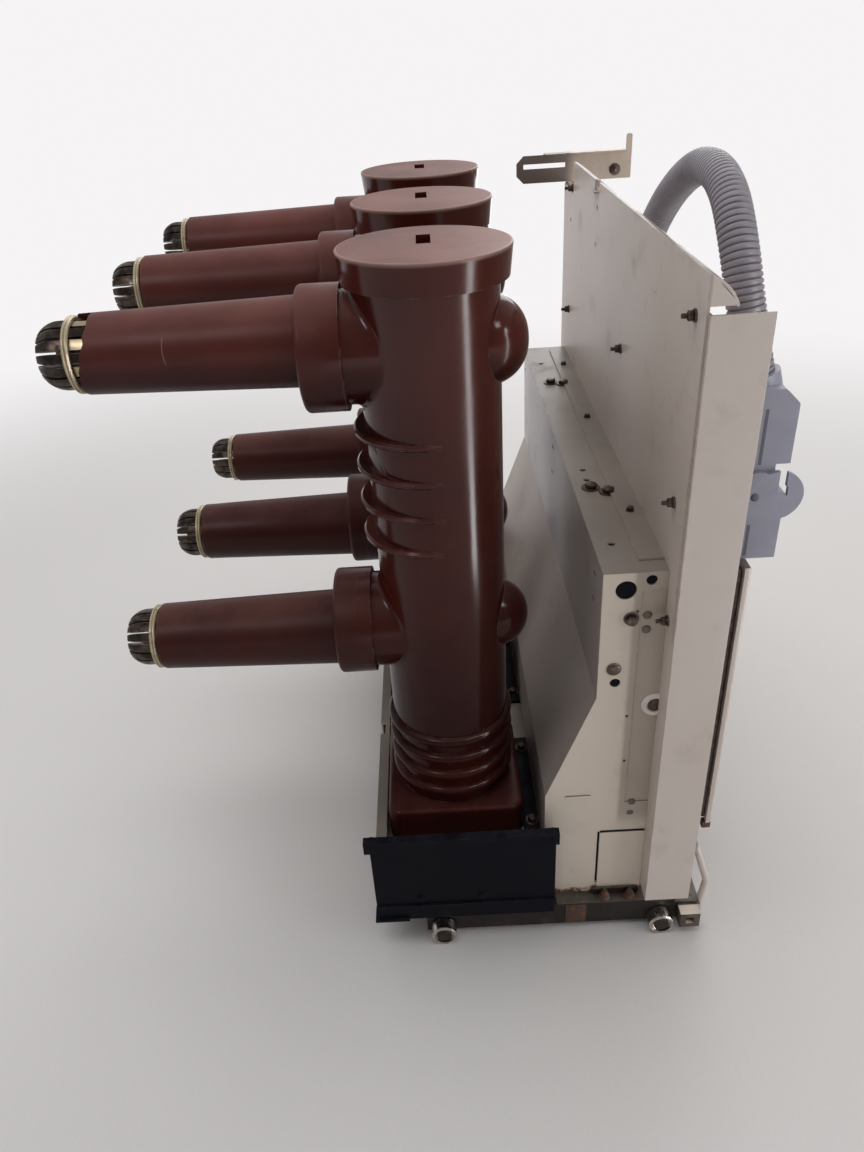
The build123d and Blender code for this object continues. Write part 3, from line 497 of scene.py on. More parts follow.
def sheet_finish(name="Powder coated sheet", rusting=0.56):
    """Cream powder coat: orange peel, painted shade behind the pan and on top faces, painted light on the
    rear wall and side faces, a painted shadow next to the pan's flange, grime, scratches and rust.
    """
    coat = Coat(name, Specular_IOR_Level=0.42)
    coat.base(coat.patches(3.2, 0.3, 0.72), "sheet", (215, 203, 192))
    x, y, z = coat.place.axes()
    face_x, face_y, face_z = facing(coat.tree).axes()
    behind = y.fade(*PAN_REAR)
    on_side = abs(face_x).fade(0.9, 0.6)
    # Painted shade: behind the pan the coat is darkened brown-grey, most on faces that don't look sideways
    # and near the floor.
    lower_shade = z.fade(*LOWER_SHADE_HEIGHT) * 0.17 * on_side.between(0.2, 1.0)
    lowest_shade = z.fade(*FLOOR_LOWER_SHADE_HEIGHT) * 0.16
    behind_shade = (lower_shade + lowest_shade + 0.13) * on_side.between(0.3, 1.0)
    coat.cover(behind * behind_shade, (134, 114, 100))
    # Painted light: the housing's rear wall between the knee and its top is painted near white, less towards
    # its near end.
    at_wall = y.fade(*WALL_BACK)
    wall = face_y.fade(0.8, 0.95) * z.fade(*WALL_FOOT_HEIGHT)
    wall = wall * z.fade(*WALL_TOP_HEIGHT) * at_wall
    wall = wall * x.fade(-0.02, -0.14).between(1.0, 0.25)
    coat.cover(wall * 0.75, (246, 244, 248))
    # Painted light on the faces that look sideways, behind the pan.
    flank = 1.0 - on_side
    coat.cover(behind * (flank * 0.55), (240, 227, 207))
    # Painted shadow on the side plates next to the pan's flange, above the tray's rim.
    pan_shadow = y.fade(*PAN_SHADOW_DEPTHS) * 0.45 * flank * z.fade(*TRAY_RIM_HEIGHT)
    coat.cover(behind * pan_shadow, (116, 100, 88))
    shade = face_y.fade(0.8, 0.9) * x.fade(-0.03, -0.15) * at_wall
    coat.cover(shade * 0.5, (76, 66, 60))
    # Painted shade: faces that look up are darkened, unevenly.
    shaded_tops = face_z.fade(0.55, 0.95) * coat.patches(7.0, 0.2, 0.7).between(0.82, 1.0)
    coat.cover(shaded_tops, (118, 109, 100))
    grime = coat.patches(21.0, 0.52, 0.78)
    coat.cover(grime * 0.2, (136, 120, 104))
    coat.scratch(19.0, 0.6, (104, 92, 78))
    coat.wear(0.0012, 0.7, (120, 96, 72))
    rust = coat.rust(0.043, 0.016, rusting)
    gloss = grime.between(0.38, 0.56).most(rust * 0.9)
    return coat.finished((620.0, 2.0), 0.00006, Roughness=gloss)


def plain_finish(name, first, second, tone, gloss, grain, **more):
    """Finish of one tone: patches from a first colour to a second, dust, wear and a fine relief."""
    share = more.pop("share", None)
    dust = more.pop("dust", None)
    worn = more.pop("worn", None)
    relief = more.pop("relief", 0.00004)
    coat = Coat(name, **more)
    mask = coat.patches(*tone)
    coat.base(mask * share if share else mask, first, second)
    if dust:
        coat.dust(*dust)
    if worn:
        coat.wear(*worn)
    return coat.finished(grain, relief, Roughness=mask.between(*gloss))


def black_plastic_finish():
    """Moulded black plastic with a fine spark texture and pale scuffs."""
    return plain_finish(
        "Moulded black plastic", "black", (9, 11, 25), (14.0, 0.35, 0.7), (0.42, 0.56), (1500.0, 2.0),
        dust=(60.0, 0.08, (120, 112, 104)), worn=(0.001, 0.45, (78, 82, 92)), relief=0.00005,
        Specular_IOR_Level=0.1,
    )


def grey_plastic_finish(name, first, second):
    """Plain moulded plastic with handling marks."""
    return plain_finish(
        name, first, second, (24.0, 0.35, 0.7), (0.42, 0.56), (1300.0, 2.0),
        dust=(70.0, 0.25, (168, 164, 160)), worn=(0.0008, 0.35, (150, 150, 158)), Specular_IOR_Level=0.4,
    )


def garter_finish():
    """Pale lacquered band, browned with old grease."""
    return plain_finish(
        "Garter band", "garter", (112, 92, 66), (120.0, 0.5, 0.75), (0.34, 0.55), (500.0, 2.0),
        share=0.6, Metallic=0.35,
    )


def bright_steel_finish():
    """Turned roller steel with grinding lines and a little grime."""
    return plain_finish(
        "Roller steel", (204, 196, 190), (100, 90, 82), (160.0, 0.5, 0.75), (0.22, 0.55), (900.0, 3.0),
        share=0.7, worn=(0.0016, 1.0, (232, 226, 214)), Metallic=1.0,
    )


def rusty_steel_finish():
    """Bolts and washers gone over to rust."""
    return plain_finish(
        "Rusted steel", (62, 42, 34), (108, 70, 48), (240.0, 0.32, 0.7), (0.62, 0.9), (520.0, 6.0, 0.7),
        relief=0.0003,
    )


def finger_stripes(x, z):
    """0 and 1 in turn from finger to finger round the arm's own axis."""
    axis = (z > (UPPER_AXIS + LOWER_AXIS) / 2) * (UPPER_AXIS - LOWER_AXIS) + LOWER_AXIS
    angle = (z - axis).angle_to(from_pole(x))
    return (angle * (FINGERS / 2)).sine(0.0).fade(-0.2, 0.2)


def contact_finish():
    """Tarnished silvered copper: brown-black, and behind the band painted light on the finger roots with
    painted shade in the gaps between them.
    """
    coat = Coat("Tarnished contact metal", Metallic=0.85)
    tarnish = coat.patches(90.0, 0.36, 0.66)
    coat.base(tarnish, (44, 36, 33), "contact")
    x, y, z = coat.place.axes()
    # Painted light and shade behind the band: lit, pale finger roots in turn with painted shade in the gaps
    # between them.
    roots = y.fade(POLE_Y + ROOTS_END, POLE_Y + ROOTS_END - 0.003)
    coat.cover(roots, mixed(coat.tree, finger_stripes(x, z), (52, 42, 38), (182, 166, 136)))
    coat.wear(0.0009, 0.9, (190, 174, 146))
    return coat.finished((700.0, 3.0), 0.00006, Roughness=tarnish.between(0.5, 0.3))


def galvanised_finish():
    """Zinc with its spangle, painted shade near the floor and on sideways faces back from the pan, with rust
    and a cream top on the latch tongues.
    """
    coat = Coat("Galvanised steel")
    spangle = field(coat.tree, "ShaderNodeTexVoronoi", "Color", {"Vector": coat.place, "Scale": 130.0})
    tone = field(coat.tree, "ShaderNodeSeparateColor", "Red", {"Color": spangle})
    coat.base(tone, (142, 138, 130), (176, 172, 164))
    stain = coat.patches(26.0, 0.42, 0.7)
    coat.cover(stain * 0.5, (98, 86, 76))
    x, y, z = coat.place.axes()
    face_x, _, face_z = facing(coat.tree).axes()
    # Painted shade: the zinc darkens towards the floor.
    coat.cover(z.fade(*ZINC_SHADE_HEIGHT).between(0.0, 0.66), (62, 52, 46))
    rust = coat.rust(0.0, 0.06, 0.5)
    tip = abs(x).fade(*TONGUE_END_X) * y.fade(*TONGUE_FRONT) * face_z.fade(0.8, 0.95)
    coat.cover(tip * 0.85, (226, 214, 200))
    # Painted shade on the zinc's faces that look sideways, back from the pan.
    side_shade = abs(face_x).fade(0.7, 0.9) * 0.85 * y.fade(*SIDE_SHADE_FRONT)
    coat.cover(side_shade, (40, 35, 34))
    metallic = rust.most(stain * 0.5).between(0.85, 0.05)
    gloss = stain.most(rust).between(0.36, 0.78)
    return coat.finished((240.0, 4.0), 0.00008, Roughness=gloss, Metallic=metallic)


def dark_steel_finish():
    """Black zinc fasteners with a trace of rust."""
    coat = Coat("Dark fastener steel")
    tone = coat.patches(210.0, 0.4, 0.7)
    coat.base(tone, (78, 66, 62), (118, 102, 94))
    spots = coat.patches(330.0, 0.6, 0.72)
    coat.cover(spots * 0.8, "rust")
    gloss, metallic = tone.between(0.36, 0.55), spots.between(0.85, 0.1)
    return coat.finished((800.0, 3.0), 0.00005, Roughness=gloss, Metallic=metallic)


def yellow_zinc_finish():
    """Yellow passivated zinc, gone brown, with a painted dark reflection at its rear end."""
    coat = Coat("Yellow zinc", Metallic=0.3)
    tone = coat.patches(17.0, 0.3, 0.7)
    coat.base(tone, (166, 150, 136), (188, 172, 158))
    # Painted reflection: the bracket is darker towards its rear end.
    rear = coat.place.axes()[1].fade(*BRACKET_DARK_REFLECTION)
    coat.cover(rear * 0.85, (98, 86, 80))
    coat.wear(0.001, 0.6, (196, 184, 160))
    return coat.finished((600.0, 3.0), 0.00004, Roughness=tone.between(0.42, 0.55))


FINISHES = {
    "epoxy": epoxy_finish,
    "contact": contact_finish,
    "garter": garter_finish,
    "white_sheet": sheet_finish,
    "dark_steel": dark_steel_finish,
    "black_plastic": black_plastic_finish,
    "galvanised": galvanised_finish,
    "roller_steel": bright_steel_finish,
    "white_rod": lambda: sheet_finish("Enamelled rod", 0.0),
    "dark_plastic": black_plastic_finish,
    "conduit": lambda: grey_plastic_finish("Conduit plastic", "conduit", (132, 127, 136)),
    "plug": lambda: grey_plastic_finish("Plug plastic", "plug", (140, 140, 157)),
    # Grey of the painted shade strips on the plug, also used on the lever's pivot screw
    "plug_groove": lambda: grey_plastic_finish("Plug groove", (78, 75, 90), (68, 66, 80)),
    "rust": rusty_steel_finish,
    "white_plastic": lambda: grey_plastic_finish("White plastic", (240, 236, 230), (228, 222, 214)),
    "yellow_zinc": yellow_zinc_finish,
}
made_finishes = {}


def finish(slot):
    """The material of a slot or look, made once."""
    maker = FINISHES[slot]
    if maker not in made_finishes:
        made_finishes[maker] = maker()
    return made_finishes[maker]


# Modelling by hand, in code

def deselect():
    if bpy.context.mode != "OBJECT":
        bpy.ops.object.mode_set(mode="OBJECT")
    bpy.ops.object.select_all(action="DESELECT")


def new_object(name, data):
    made = bpy.data.objects.new(name, data)
    bpy.context.scene.collection.objects.link(made)
    return made


def select_only(piece):
    deselect()
    piece.select_set(True)
    bpy.context.view_layer.objects.active = piece


def edit(piece):
    select_only(piece)
    bpy.ops.object.mode_set(mode="EDIT")
    bpy.ops.mesh.select_all(action="SELECT")


def pick_top():
    """In edit mode, selects the faces that look up."""
    bpy.ops.mesh.select_mode(type="FACE")
    bpy.ops.mesh.select_all(action="DESELECT")
    mesh = bmesh.from_edit_mesh(bpy.context.edit_object.data)
    for face in mesh.faces:
        face.select_set(face.normal.z > 0.9)
    bmesh.update_edit_mesh(bpy.context.edit_object.data)


def close_up(piece):
    """Merges doubled points and turns every face outwards."""
    edit(piece)
    bpy.ops.mesh.remove_doubles(threshold=0.000001)
    bpy.ops.mesh.normals_make_consistent(inside=False)
    bpy.ops.object.mode_set(mode="OBJECT")


def modified(piece, kind, **options):
    """Gives a piece a modifier with its options and applies it."""
    select_only(piece)
    modifier = piece.modifiers.new(kind.title(), kind)
    for name, value in options.items():
        setattr(modifier, name, value)
    bpy.ops.object.modifier_apply(modifier=modifier.name)


def bevel(piece, width, segments=2):
    """Rounds the piece's edges that turn by more than 30 degrees."""
    angle = math.radians(30.0)
    modified(piece, "BEVEL", width=width, segments=segments, limit_method="ANGLE", angle_limit=angle)


def drawn_up(profile, sides=24):
    """Round piece on Z: a disc drawn up ring by ring through radius and height pairs."""
    deselect()
    radius, height = profile[0]
    foot = (0, 0, height)
    bpy.ops.mesh.primitive_circle_add(vertices=sides, radius=radius, fill_type="NGON", location=foot)
    piece = bpy.context.active_object
    edit(piece)
    for next_radius, next_height in profile[1:]:
        bpy.ops.mesh.extrude_region_move(TRANSFORM_OT_translate={"value": (0, 0, next_height - height)})
        scale = next_radius / radius
        bpy.ops.transform.resize(value=(scale, scale, 1))
        radius, height = next_radius, next_height
    bpy.ops.object.mode_set(mode="OBJECT")
    bpy.ops.object.transform_apply()
    close_up(piece)
    return piece


def joined(pieces, name):
    deselect()
    for piece in pieces:
        piece.select_set(True)
    bpy.context.view_layer.objects.active = pieces[0]
    if len(pieces) > 1:
        bpy.ops.object.join()
    pieces[0].name = name
    return pieces[0]


def place_of(point, direction, turn=0.0, axis="Z"):
    """Placement at a point, with its Z or another axis turned to a direction."""
    turned = direction.to_track_quat(axis, "Y").to_matrix().to_4x4()
    return Matrix.Translation(point) @ turned @ Matrix.Rotation(math.radians(turn), 4, "Z")


def dressed(piece, body, slot, look=None, smooth=35.0):
    """Gives a new piece its body and the slot's finish, or another look."""
    piece.data.materials.clear()
    piece.data.materials.append(finish(look or slot))
    select_only(piece)
    bpy.ops.object.shade_smooth_by_angle(angle=math.radians(smooth))
    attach(piece, body)
    return piece


def grouped(name, pieces, slot, look=None, body="breaker"):
    return dressed(joined(pieces, name), body, slot, look)


def discard(piece):
    bpy.data.objects.remove(piece, do_unlink=True)


def stamped(name, master, places, slot="dark_steel", look=None, body="breaker"):
    """Copies of a master, each with its own mesh, joined to one piece; the master goes."""
    copies = []
    for place in places:
        mesh = master.data.copy()
        mesh.transform(place)
        copies.append(new_object(name, mesh))
    grouped(name, copies, slot, look, body)
    discard(master)


def hex_nut(radius, height, washer, stud=0.0, rim=1.5):
    """Hexagon with chamfered corners on its washer, with a threaded stud end where it has one."""
    deselect()
    middle = (0, 0, washer + height / 2)
    bpy.ops.mesh.primitive_cylinder_add(vertices=6, radius=radius, depth=height, location=middle)
    nut = bpy.context.active_object
    bpy.ops.object.transform_apply()
    edit(nut)
    pick_top()
    bpy.ops.mesh.inset(thickness=radius * 0.12, depth=0.0)
    bpy.ops.transform.translate(value=(0, 0, height * 0.12))
    bpy.ops.object.mode_set(mode="OBJECT")
    bevel(nut, radius * 0.05, 1)
    edge = radius * rim
    disc = drawn_up([(edge, 0.0), (edge, washer * 0.7), (edge * 0.95, washer)], 20)
    pieces = [nut, disc]
    if stud:
        shank = radius * 0.52
        top = washer + height * 1.12
        profile = [(shank * 0.9, washer)]
        turns = max(2, round(stud / (shank * 0.5)))
        step = stud / turns
        for turn in range(turns):
            start = top + turn * step
            profile += [(shank * 0.88, start), (shank, start + step * 0.5)]
        profile.append((shank * 0.75, top + stud))
        pieces.append(drawn_up(profile, 12))
    return joined(pieces, "hex_master")


def pan_screw(radius, height):
    """Low domed screw head."""
    return drawn_up([
        (radius, 0.0), (radius, height * 0.35), (radius * 0.86, height * 0.75),
        (radius * 0.55, height * 0.97), (radius * 0.2, height),
    ], 18)


# The camera

CAMERA_PLACE = spot(-912.3, 1.0, 831.7)
CAMERA_HEADING = Vector((0.8471, 0.0133, -0.5312))
CAMERA_ROLL = -3.77
CAMERA_LENS = 27.35
SENSOR = 36.0


class BREAKER_OT_camera(bpy.types.Operator):
    """Sets the camera at the height and angle that shows the near pole and the arms"""
    bl_idname = "breaker.camera"
    bl_label = "Camera"

    def execute(self, context):
        data = bpy.data.cameras.new("View of the arms side")
        data.lens = CAMERA_LENS
        data.sensor_width = SENSOR
        camera = new_object("View of the arms side", data)
        camera.matrix_world = place_of(CAMERA_PLACE, CAMERA_HEADING, CAMERA_ROLL, "-Z")
        context.scene.camera = camera
        return {"FINISHED"}


# The conduit, along the route of its CAD solid

CONDUIT_ROUTE = (
    (34.0, 219.0, 464.0),
    (34.0, 219.0, 540.0),
    (23.0, 221.0, 610.0),
    (-22.0, 226.0, 668.0),
    (-82.0, 230.0, 708.0),
    (-147.0, 231.0, 728.0),
    (-211.0, 229.0, 720.0),
    (-252.0, 229.0, 684.0),
    (-267.0, 236.0, 636.0),
    (-270.0, 247.0, 595.0),
)
RIDGE_PROFILE = ((0.0, 1.0), (0.18, 0.15), (0.36, 0.0), (0.64, 0.0), (0.82, 0.15))


def route_curve():
    """The conduit's line as one NURBS curve with the route's points as its control points."""
    curve = bpy.data.curves.new("conduit_line", "CURVE")
    curve.dimensions = "3D"
    curve.resolution_u = 24
    spline = curve.splines.new("NURBS")
    spline.points.add(len(CONDUIT_ROUTE) - 1)
    for point, (x, depth, z) in zip(spline.points, CONDUIT_ROUTE):
        point.co = (*spot(x, depth, z), 1.0)
    spline.order_u = 3
    spline.use_endpoint_u = True
    return curve


def line_points(curve):
    """Points along a curve that has no bevel, in order."""
    carrier = new_object("conduit_line", curve)
    bpy.context.view_layer.update()
    evaluated = carrier.evaluated_get(bpy.context.evaluated_depsgraph_get())
    mesh = bpy.data.meshes.new_from_object(evaluated)
    points = [vertex.co.copy() for vertex in mesh.vertices]
    bpy.data.meshes.remove(mesh)
    discard(carrier)
    return points


def along(points, distances):
    """(point, direction) at each distance along a line of points."""
    found = []
    index = 0
    reached = 0.0
    for distance in distances:
        step = (points[index + 1] - points[index]).length
        while index < len(points) - 2 and reached + step < distance:
            index += 1
            reached += step
            step = (points[index + 1] - points[index]).length
        start, end = points[index], points[index + 1]
        found.append((start.lerp(end, (distance - reached) / step), (end - start).normalized()))
    return found


def corrugated_tube(points, settings):
    """Ribbed tube round a line, closed at both ends."""
    length = sum((end - start).length for start, end in zip(points, points[1:]))
    ridges = round(length / settings.pitch)
    pitch = length / ridges
    stations = [
        ((ridge + share) * pitch, settings.radius - settings.groove * depth)
        for ridge in range(ridges) for share, depth in RIDGE_PROFILE
    ]
    stations.append((length, settings.radius - settings.groove))
    frames = along(points, [distance for distance, radius in stations])
    vertices = []
    side = Vector((1, 0, 0))
    for (point, direction), (distance, radius) in zip(frames, stations):
        side = (side - direction * side.dot(direction)).normalized()
        other = direction.cross(side)
        for step in range(settings.sides):
            angle = 2 * math.pi * step / settings.sides
            vertices.append(point + (side * math.cos(angle) + other * math.sin(angle)) * radius)
    faces = []
    for ring in range(len(stations) - 1):
        base = ring * settings.sides
        for step in range(settings.sides):
            following = (step + 1) % settings.sides
            faces.append((
                base + step, base + following,
                base + settings.sides + following, base + settings.sides + step,
            ))
    faces.append(tuple(reversed(range(settings.sides))))
    last = (len(stations) - 1) * settings.sides
    faces.append(tuple(last + step for step in range(settings.sides)))
    mesh = bpy.data.meshes.new("conduit_hose")
    mesh.from_pydata(vertices, [], faces)
    return new_object("conduit_hose", mesh)


class BREAKER_OT_conduit(bpy.types.Operator):
    """Makes the corrugated conduit that arches from its gland to the plug"""
    bl_idname = "breaker.conduit"
    bl_label = "Conduit"

    def execute(self, context):
        points = line_points(route_curve())
        tube = corrugated_tube(points, context.scene.breaker_conduit)
        dressed(tube, "breaker", "conduit")
        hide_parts("conduit")
        tuple(spot(*CONDUIT_ROUTE[0]))
        return {"FINISHED"}


# CAD nodes that keep their shape, and those that get rounded edges

def node_body(name):
    return frame["nodes"][name]["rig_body"]


def node_slot(name):
    """The record's slot that a CAD node was packed with."""
    return frame["nodes"][name].data.materials[0].name.split(".")[0]


def refinish(name):
    """Keeps a CAD node's shape and gives it its finish."""
    slot = packed_slots[name]
    for place in frame["nodes"][name].material_slots:
        place.material = finish(slot)


def cut_away(piece, bounds):
    """Takes a box away from a piece with a Boolean modifier that is applied."""
    cutter = slab("cutter", *bounds, edge=0.0)
    modified(piece, "BOOLEAN", operation="DIFFERENCE", solver="EXACT", object=cutter)
    discard(cutter)


def rounded_copy(name, width, segments=2, smooth=35.0, cut=None):
    """A merged copy of a CAD node with rounded edges, which stands for the node."""
    piece = new_object(f"{name}_shell", frame["nodes"][name].data.copy())
    select_only(piece)
    bpy.ops.mesh.customdata_custom_splitnormals_clear()
    edit(piece)
    bpy.ops.mesh.remove_doubles(threshold=0.000005)
    bpy.ops.mesh.dissolve_limited(angle_limit=math.radians(0.4))
    bpy.ops.object.mode_set(mode="OBJECT")
    if cut:
        cut_away(piece, cut)
    bevel(piece, width, segments)
    dressed(piece, node_body(name), packed_slots[name], smooth=smooth)
    modified(piece, "WEIGHTED_NORMAL", keep_sharp=True)
    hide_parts(name)
    return piece


SHEET_EDGE = 0.0006
PLATE_EDGE = 0.0005
CASE_EDGE = 0.002
COVER_EDGE = 0.0008
PLUG_EDGE = 0.0022
HOUSING_SMOOTH = 19.0
COVER_SPIKES = (305.0, 318.9, -89.0, 98.0, 147.0, 162.0)
packed_slots = {name: node_slot(name) for name in frame["nodes"]}


class BREAKER_OT_poles(bpy.types.Operator):
    """Gives the poles, their caps and sleeves the look of cast epoxy"""
    bl_idname = "breaker.poles"
    bl_label = "Poles"

    def execute(self, context):
        for name in frame["nodes"]:
            if packed_slots[name] == "epoxy":
                refinish(name)
        return {"FINISHED"}


class BREAKER_OT_contacts(bpy.types.Operator):
    """Finishes the finger contacts and their garter rings"""
    bl_idname = "breaker.contacts"
    bl_label = "Contacts"

    def execute(self, context):
        for name in frame["nodes"]:
            if packed_slots[name] in ("contact", "garter"):
                refinish(name)
        return {"FINISHED"}


class BREAKER_OT_chassis(bpy.types.Operator):
    """Rounds and paints the sheet metal of the chassis"""
    bl_idname = "breaker.chassis"
    bl_label = "Chassis"

    def execute(self, context):
        for name in ("front_pan", "rear_shield", "pole_bed", "truck_floor", "front_beam"):
            rounded_copy(name, SHEET_EDGE)
        bracket = rounded_copy("corner_bracket", SHEET_EDGE)
        bracket.data.materials[0] = finish("yellow_zinc")
        rounded_copy("mechanism_housing", CASE_EDGE, 4, smooth=HOUSING_SMOOTH)
        rounded_copy("mechanism_case", CASE_EDGE, 3)
        for side, way in (("left", -1), ("right", 1)):
            rounded_copy(f"housing_side_{side}", PLATE_EDGE)
            rounded_copy(f"truck_rail_{side}", PLATE_EDGE)
            rounded_copy(f"latch_tongue_{side}", SHEET_EDGE)
            near, far, *rest = COVER_SPIKES
            rounded_copy(f"side_cover_{side}", COVER_EDGE, cut=(way * near, way * far, *rest))
            refinish(f"latch_handle_{side}")
            refinish(f"rear_roller_{side}")
            refinish(f"front_roller_{side}")
        refinish("front_cover")
        return {"FINISHED"}


class BREAKER_OT_plug(bpy.types.Operator):
    """Finishes the plug, its lever and the conduit's gland, and lays strips of painted shade on the plug"""
    bl_idname = "breaker.plug"
    bl_label = "Plug and gland"

    def execute(self, context):
        rounded_copy("plug", PLUG_EDGE, 4)
        rounded_copy("plug_lever", SHEET_EDGE, cut=LEVER_SLOT)
        refinish("conduit_gland")
        # Painted shade: thin dark strips stand for the shade at the steps on the plug's face.
        lines = [slab("plug_line", *PLUG_SHADE_X, *bounds, 0.0) for bounds in PLUG_SHADE_LINES]
        grouped("plug_lines", lines, "plug", "plug_groove", node_body("plug"))
        pivot = pan_screw(*PIVOT_SCREW)
        places = [place_of(spot(*LEVER_PIVOT), LEFT)]
        stamped("lever_pivot_screw", pivot, places, "plug", "plug_groove", node_body("plug"))
        return {"FINISHED"}


# Fasteners and small fittings; places are X, depth in front of the pole axes and height

SIDES = ((-1, LEFT), (1, RIGHT))
PIVOT_SCREW = (0.0036, 0.0007)
LEVER_SLOT = (-300.5, -294.0, 267.0, 273.5, 509.0, 530.0)
LEVER_PIVOT = (-299.3, 250.0, 503.0)
# Dark strips that paint the shade at the steps on the plug's face
PLUG_SHADE_X = (-295.15, -294.8)
PLUG_SHADE_LINES = ((249.6, 252.2, 529.0, 575.0), (248.6, 251.2, 447.0, 476.0))
SHIELD_STUDS = (
    (-299.0, 650.0), (-67.0, 553.0), (261.0, 503.0), (255.0, 653.0), (-294.0, 500.0), (-310.0, 396.0),
    (310.0, 396.0),
)
TOP_BOLTS = ((158.0, 151.0), (151.0, 166.0), (-142.0, 150.0), (-153.0, 165.0))
FLANGE_SCREWS = ((219.0, 176.0), (33.0, 176.0), (-196.0, 177.0))
TOP_HOLES = ((232.0, 148.0), (-101.0, 149.0), (-124.0, 149.0), (-252.0, 149.0))
REAR_SLOTS = ((293.0, 413.0), (293.0, 370.0), (3.0, 421.0), (7.0, 389.0), (-263.0, 419.0), (-263.0, 392.0))
REAR_SLOT_HALF = (5.8, 1.4)
# Black floors that paint the shade in the rear slots and the holes on top
SLOT_SHADE_DEPTHS = (WALL_DEPTH + 0.6, WALL_DEPTH + 2.0)
HOLE_SHADE_PROFILE = ((0.0031, 0.0), (0.0031, 0.0012))
SIDE_BOLT_SIZE = (0.0050, 0.0042, 0.0014)
SIDE_PIN_SIZE = (0.0014, 0.0006)
SIDE_PLUG_SIZE = (0.0066, 0.0026)
SIDE_BOLTS = ((159.0, 394.0),)
SIDE_SCREWS = ((173.0, 396.0), (173.0, 381.0), (174.0, 171.0), (173.0, 157.0))
SIDE_PINS = ((164.0, 401.0), (162.0, 284.0), (163.0, 228.0))
SIDE_PLUGS = ((147.0, 340.0),)
SIDE_GROMMETS = ((187.0, 296.0),)
SUNK = -1.2
GROMMET_PROFILE = (
    (0.0124, 0.0), (0.0124, 0.0012), (0.0112, 0.0026), (0.0082, 0.0026), (0.0070, 0.0010), (0.0035, 0.0006),
)
# Dark disc that paints the shade in the grommet's hole
EYE_SHADE_PROFILE = ((0.0066, 0.0), (0.0066, 0.0022))
SIDE_BORES = ((153.0, 423.0, 9.0), (174.0, 432.0, 4.7), (149.0, 324.0, 4.7))
# Black linings that paint the shade in the side plates' bores
BORE_SHADE_SUNK = -4.5
BORE_FIT = 0.985
SIDE_RIB = (120.5, 183.0)
SIDE_RIB_SIZE = (0.0032, 0.025, 0.003)
# Black strips that paint the shade in the hatch's gaps
HATCH_GAP_SHADES = ((299.9, 300.9, 142.3, 143.9, 56.0, 130.0), (300.4, 301.7, 144.5, 189.0, 131.2, 132.6))
FOOT_HALF = 72.0
FOOT_DEPTHS = (70.2, 87.0)
FOOT_TOP = BED_FLOOR + 4.0
FOOT_BOLT = (55.0, 80.0)
TRAY_BOLT_X = 309.0
TRAY_BOLT_DEPTHS = (152.0, 178.0)
TRAY_BOLT_PROFILE = (
    (0.0064, 0.0), (0.0062, 0.0014), (0.0046, 0.0030), (0.0041, 0.0062), (0.0026, 0.0078), (0.0021, 0.0112),
)
RAIL_PATCH = (313.6, 315.4, 110.0, 132.0, 9.0, 37.2)
COVER_CLIP = (303.0, 309.4, 244.0, 252.6, 138.0, 147.0)
TRAY_ANGLE = (303.5, 305.5, 140.0, 188.0, TRUCK_FLOOR, TRUCK_FLOOR + 9.0)
GUSSET_X = 307.5
GUSSET_OUTLINE = ((251.5, 29.0), (256.5, 29.0), (257.0, 44.0), (253.8, 52.0))
SIDE_COVER_SCREWS = ((-41.0, 69.0), (22.0, 69.0))
SIDE_COVER_X = 322.0
BRACKET_NUT_SIZE = (0.0056, 0.0046, 0.0014, 0.0034)
BRACKET_NUTS = ((322.0, 252.0, 662.0, 10.0), (322.0, 212.0, 634.0, 25.0))
FRONT_COVER_SCREWS = [(x, 253.0, z) for x in (-296.0, -100.0, 100.0, 296.0) for z in (162.0, 430.0)]


def slab(name, x0, x1, depth0, depth1, z0, z1, edge=0.0004):
    """Box with rounded edges between two X, two depths and two heights."""
    middle = spot((x0 + x1) / 2, (depth0 + depth1) / 2, (z0 + z1) / 2)
    return box_at(name, middle, (abs(x1 - x0) * MM, abs(depth1 - depth0) * MM, abs(z1 - z0) * MM), edge)


def box_at(name, middle, size, edge, segments=2):
    """Box of a size round its middle, with rounded edges where it has an edge width."""
    deselect()
    bpy.ops.mesh.primitive_cube_add(size=1.0, location=middle)
    piece = bpy.context.active_object
    piece.name = name
    piece.scale = size
    bpy.ops.object.transform_apply()
    if edge:
        bevel(piece, edge, segments)
    return piece


def both_sides(name, slot, boxes, edge=0.0004, look=None):
    """Boxes given for the right side, made on both sides and joined to one piece."""
    pieces = [
        slab(name, side * x0, side * x1, *rest, edge) for side in (-1, 1) for x0, x1, *rest in boxes
    ]
    grouped(name, pieces, slot, look)


def on_sides(points, out=0.0, plate=SIDE_X, turn=15):
    """Placements on both side plates of the housing, facing outwards."""
    return [
        place_of(spot(side * (plate + out), depth, z), outward, turn)
        for side, outward in SIDES for depth, z in points
    ]


def on_top(points, height, turn=0.0):
    """Placements on a level face, facing up."""
    return [place_of(spot(x, depth, height), UP, turn) for x, depth in points]


class BREAKER_OT_shield_studs(bpy.types.Operator):
    """Puts nuts and stud ends on the rear face of the shield"""
    bl_idname = "breaker.shield_studs"
    bl_label = "Shield studs"

    def execute(self, context):
        size = context.scene.breaker_fasteners.stud
        nut = hex_nut(size, size, 0.0016, size * 1.1, rim=1.25)
        stamped("shield_studs", nut, [place_of(spot(x, SHIELD_BACK, z), BEHIND, 20) for x, z in SHIELD_STUDS])
        return {"FINISHED"}


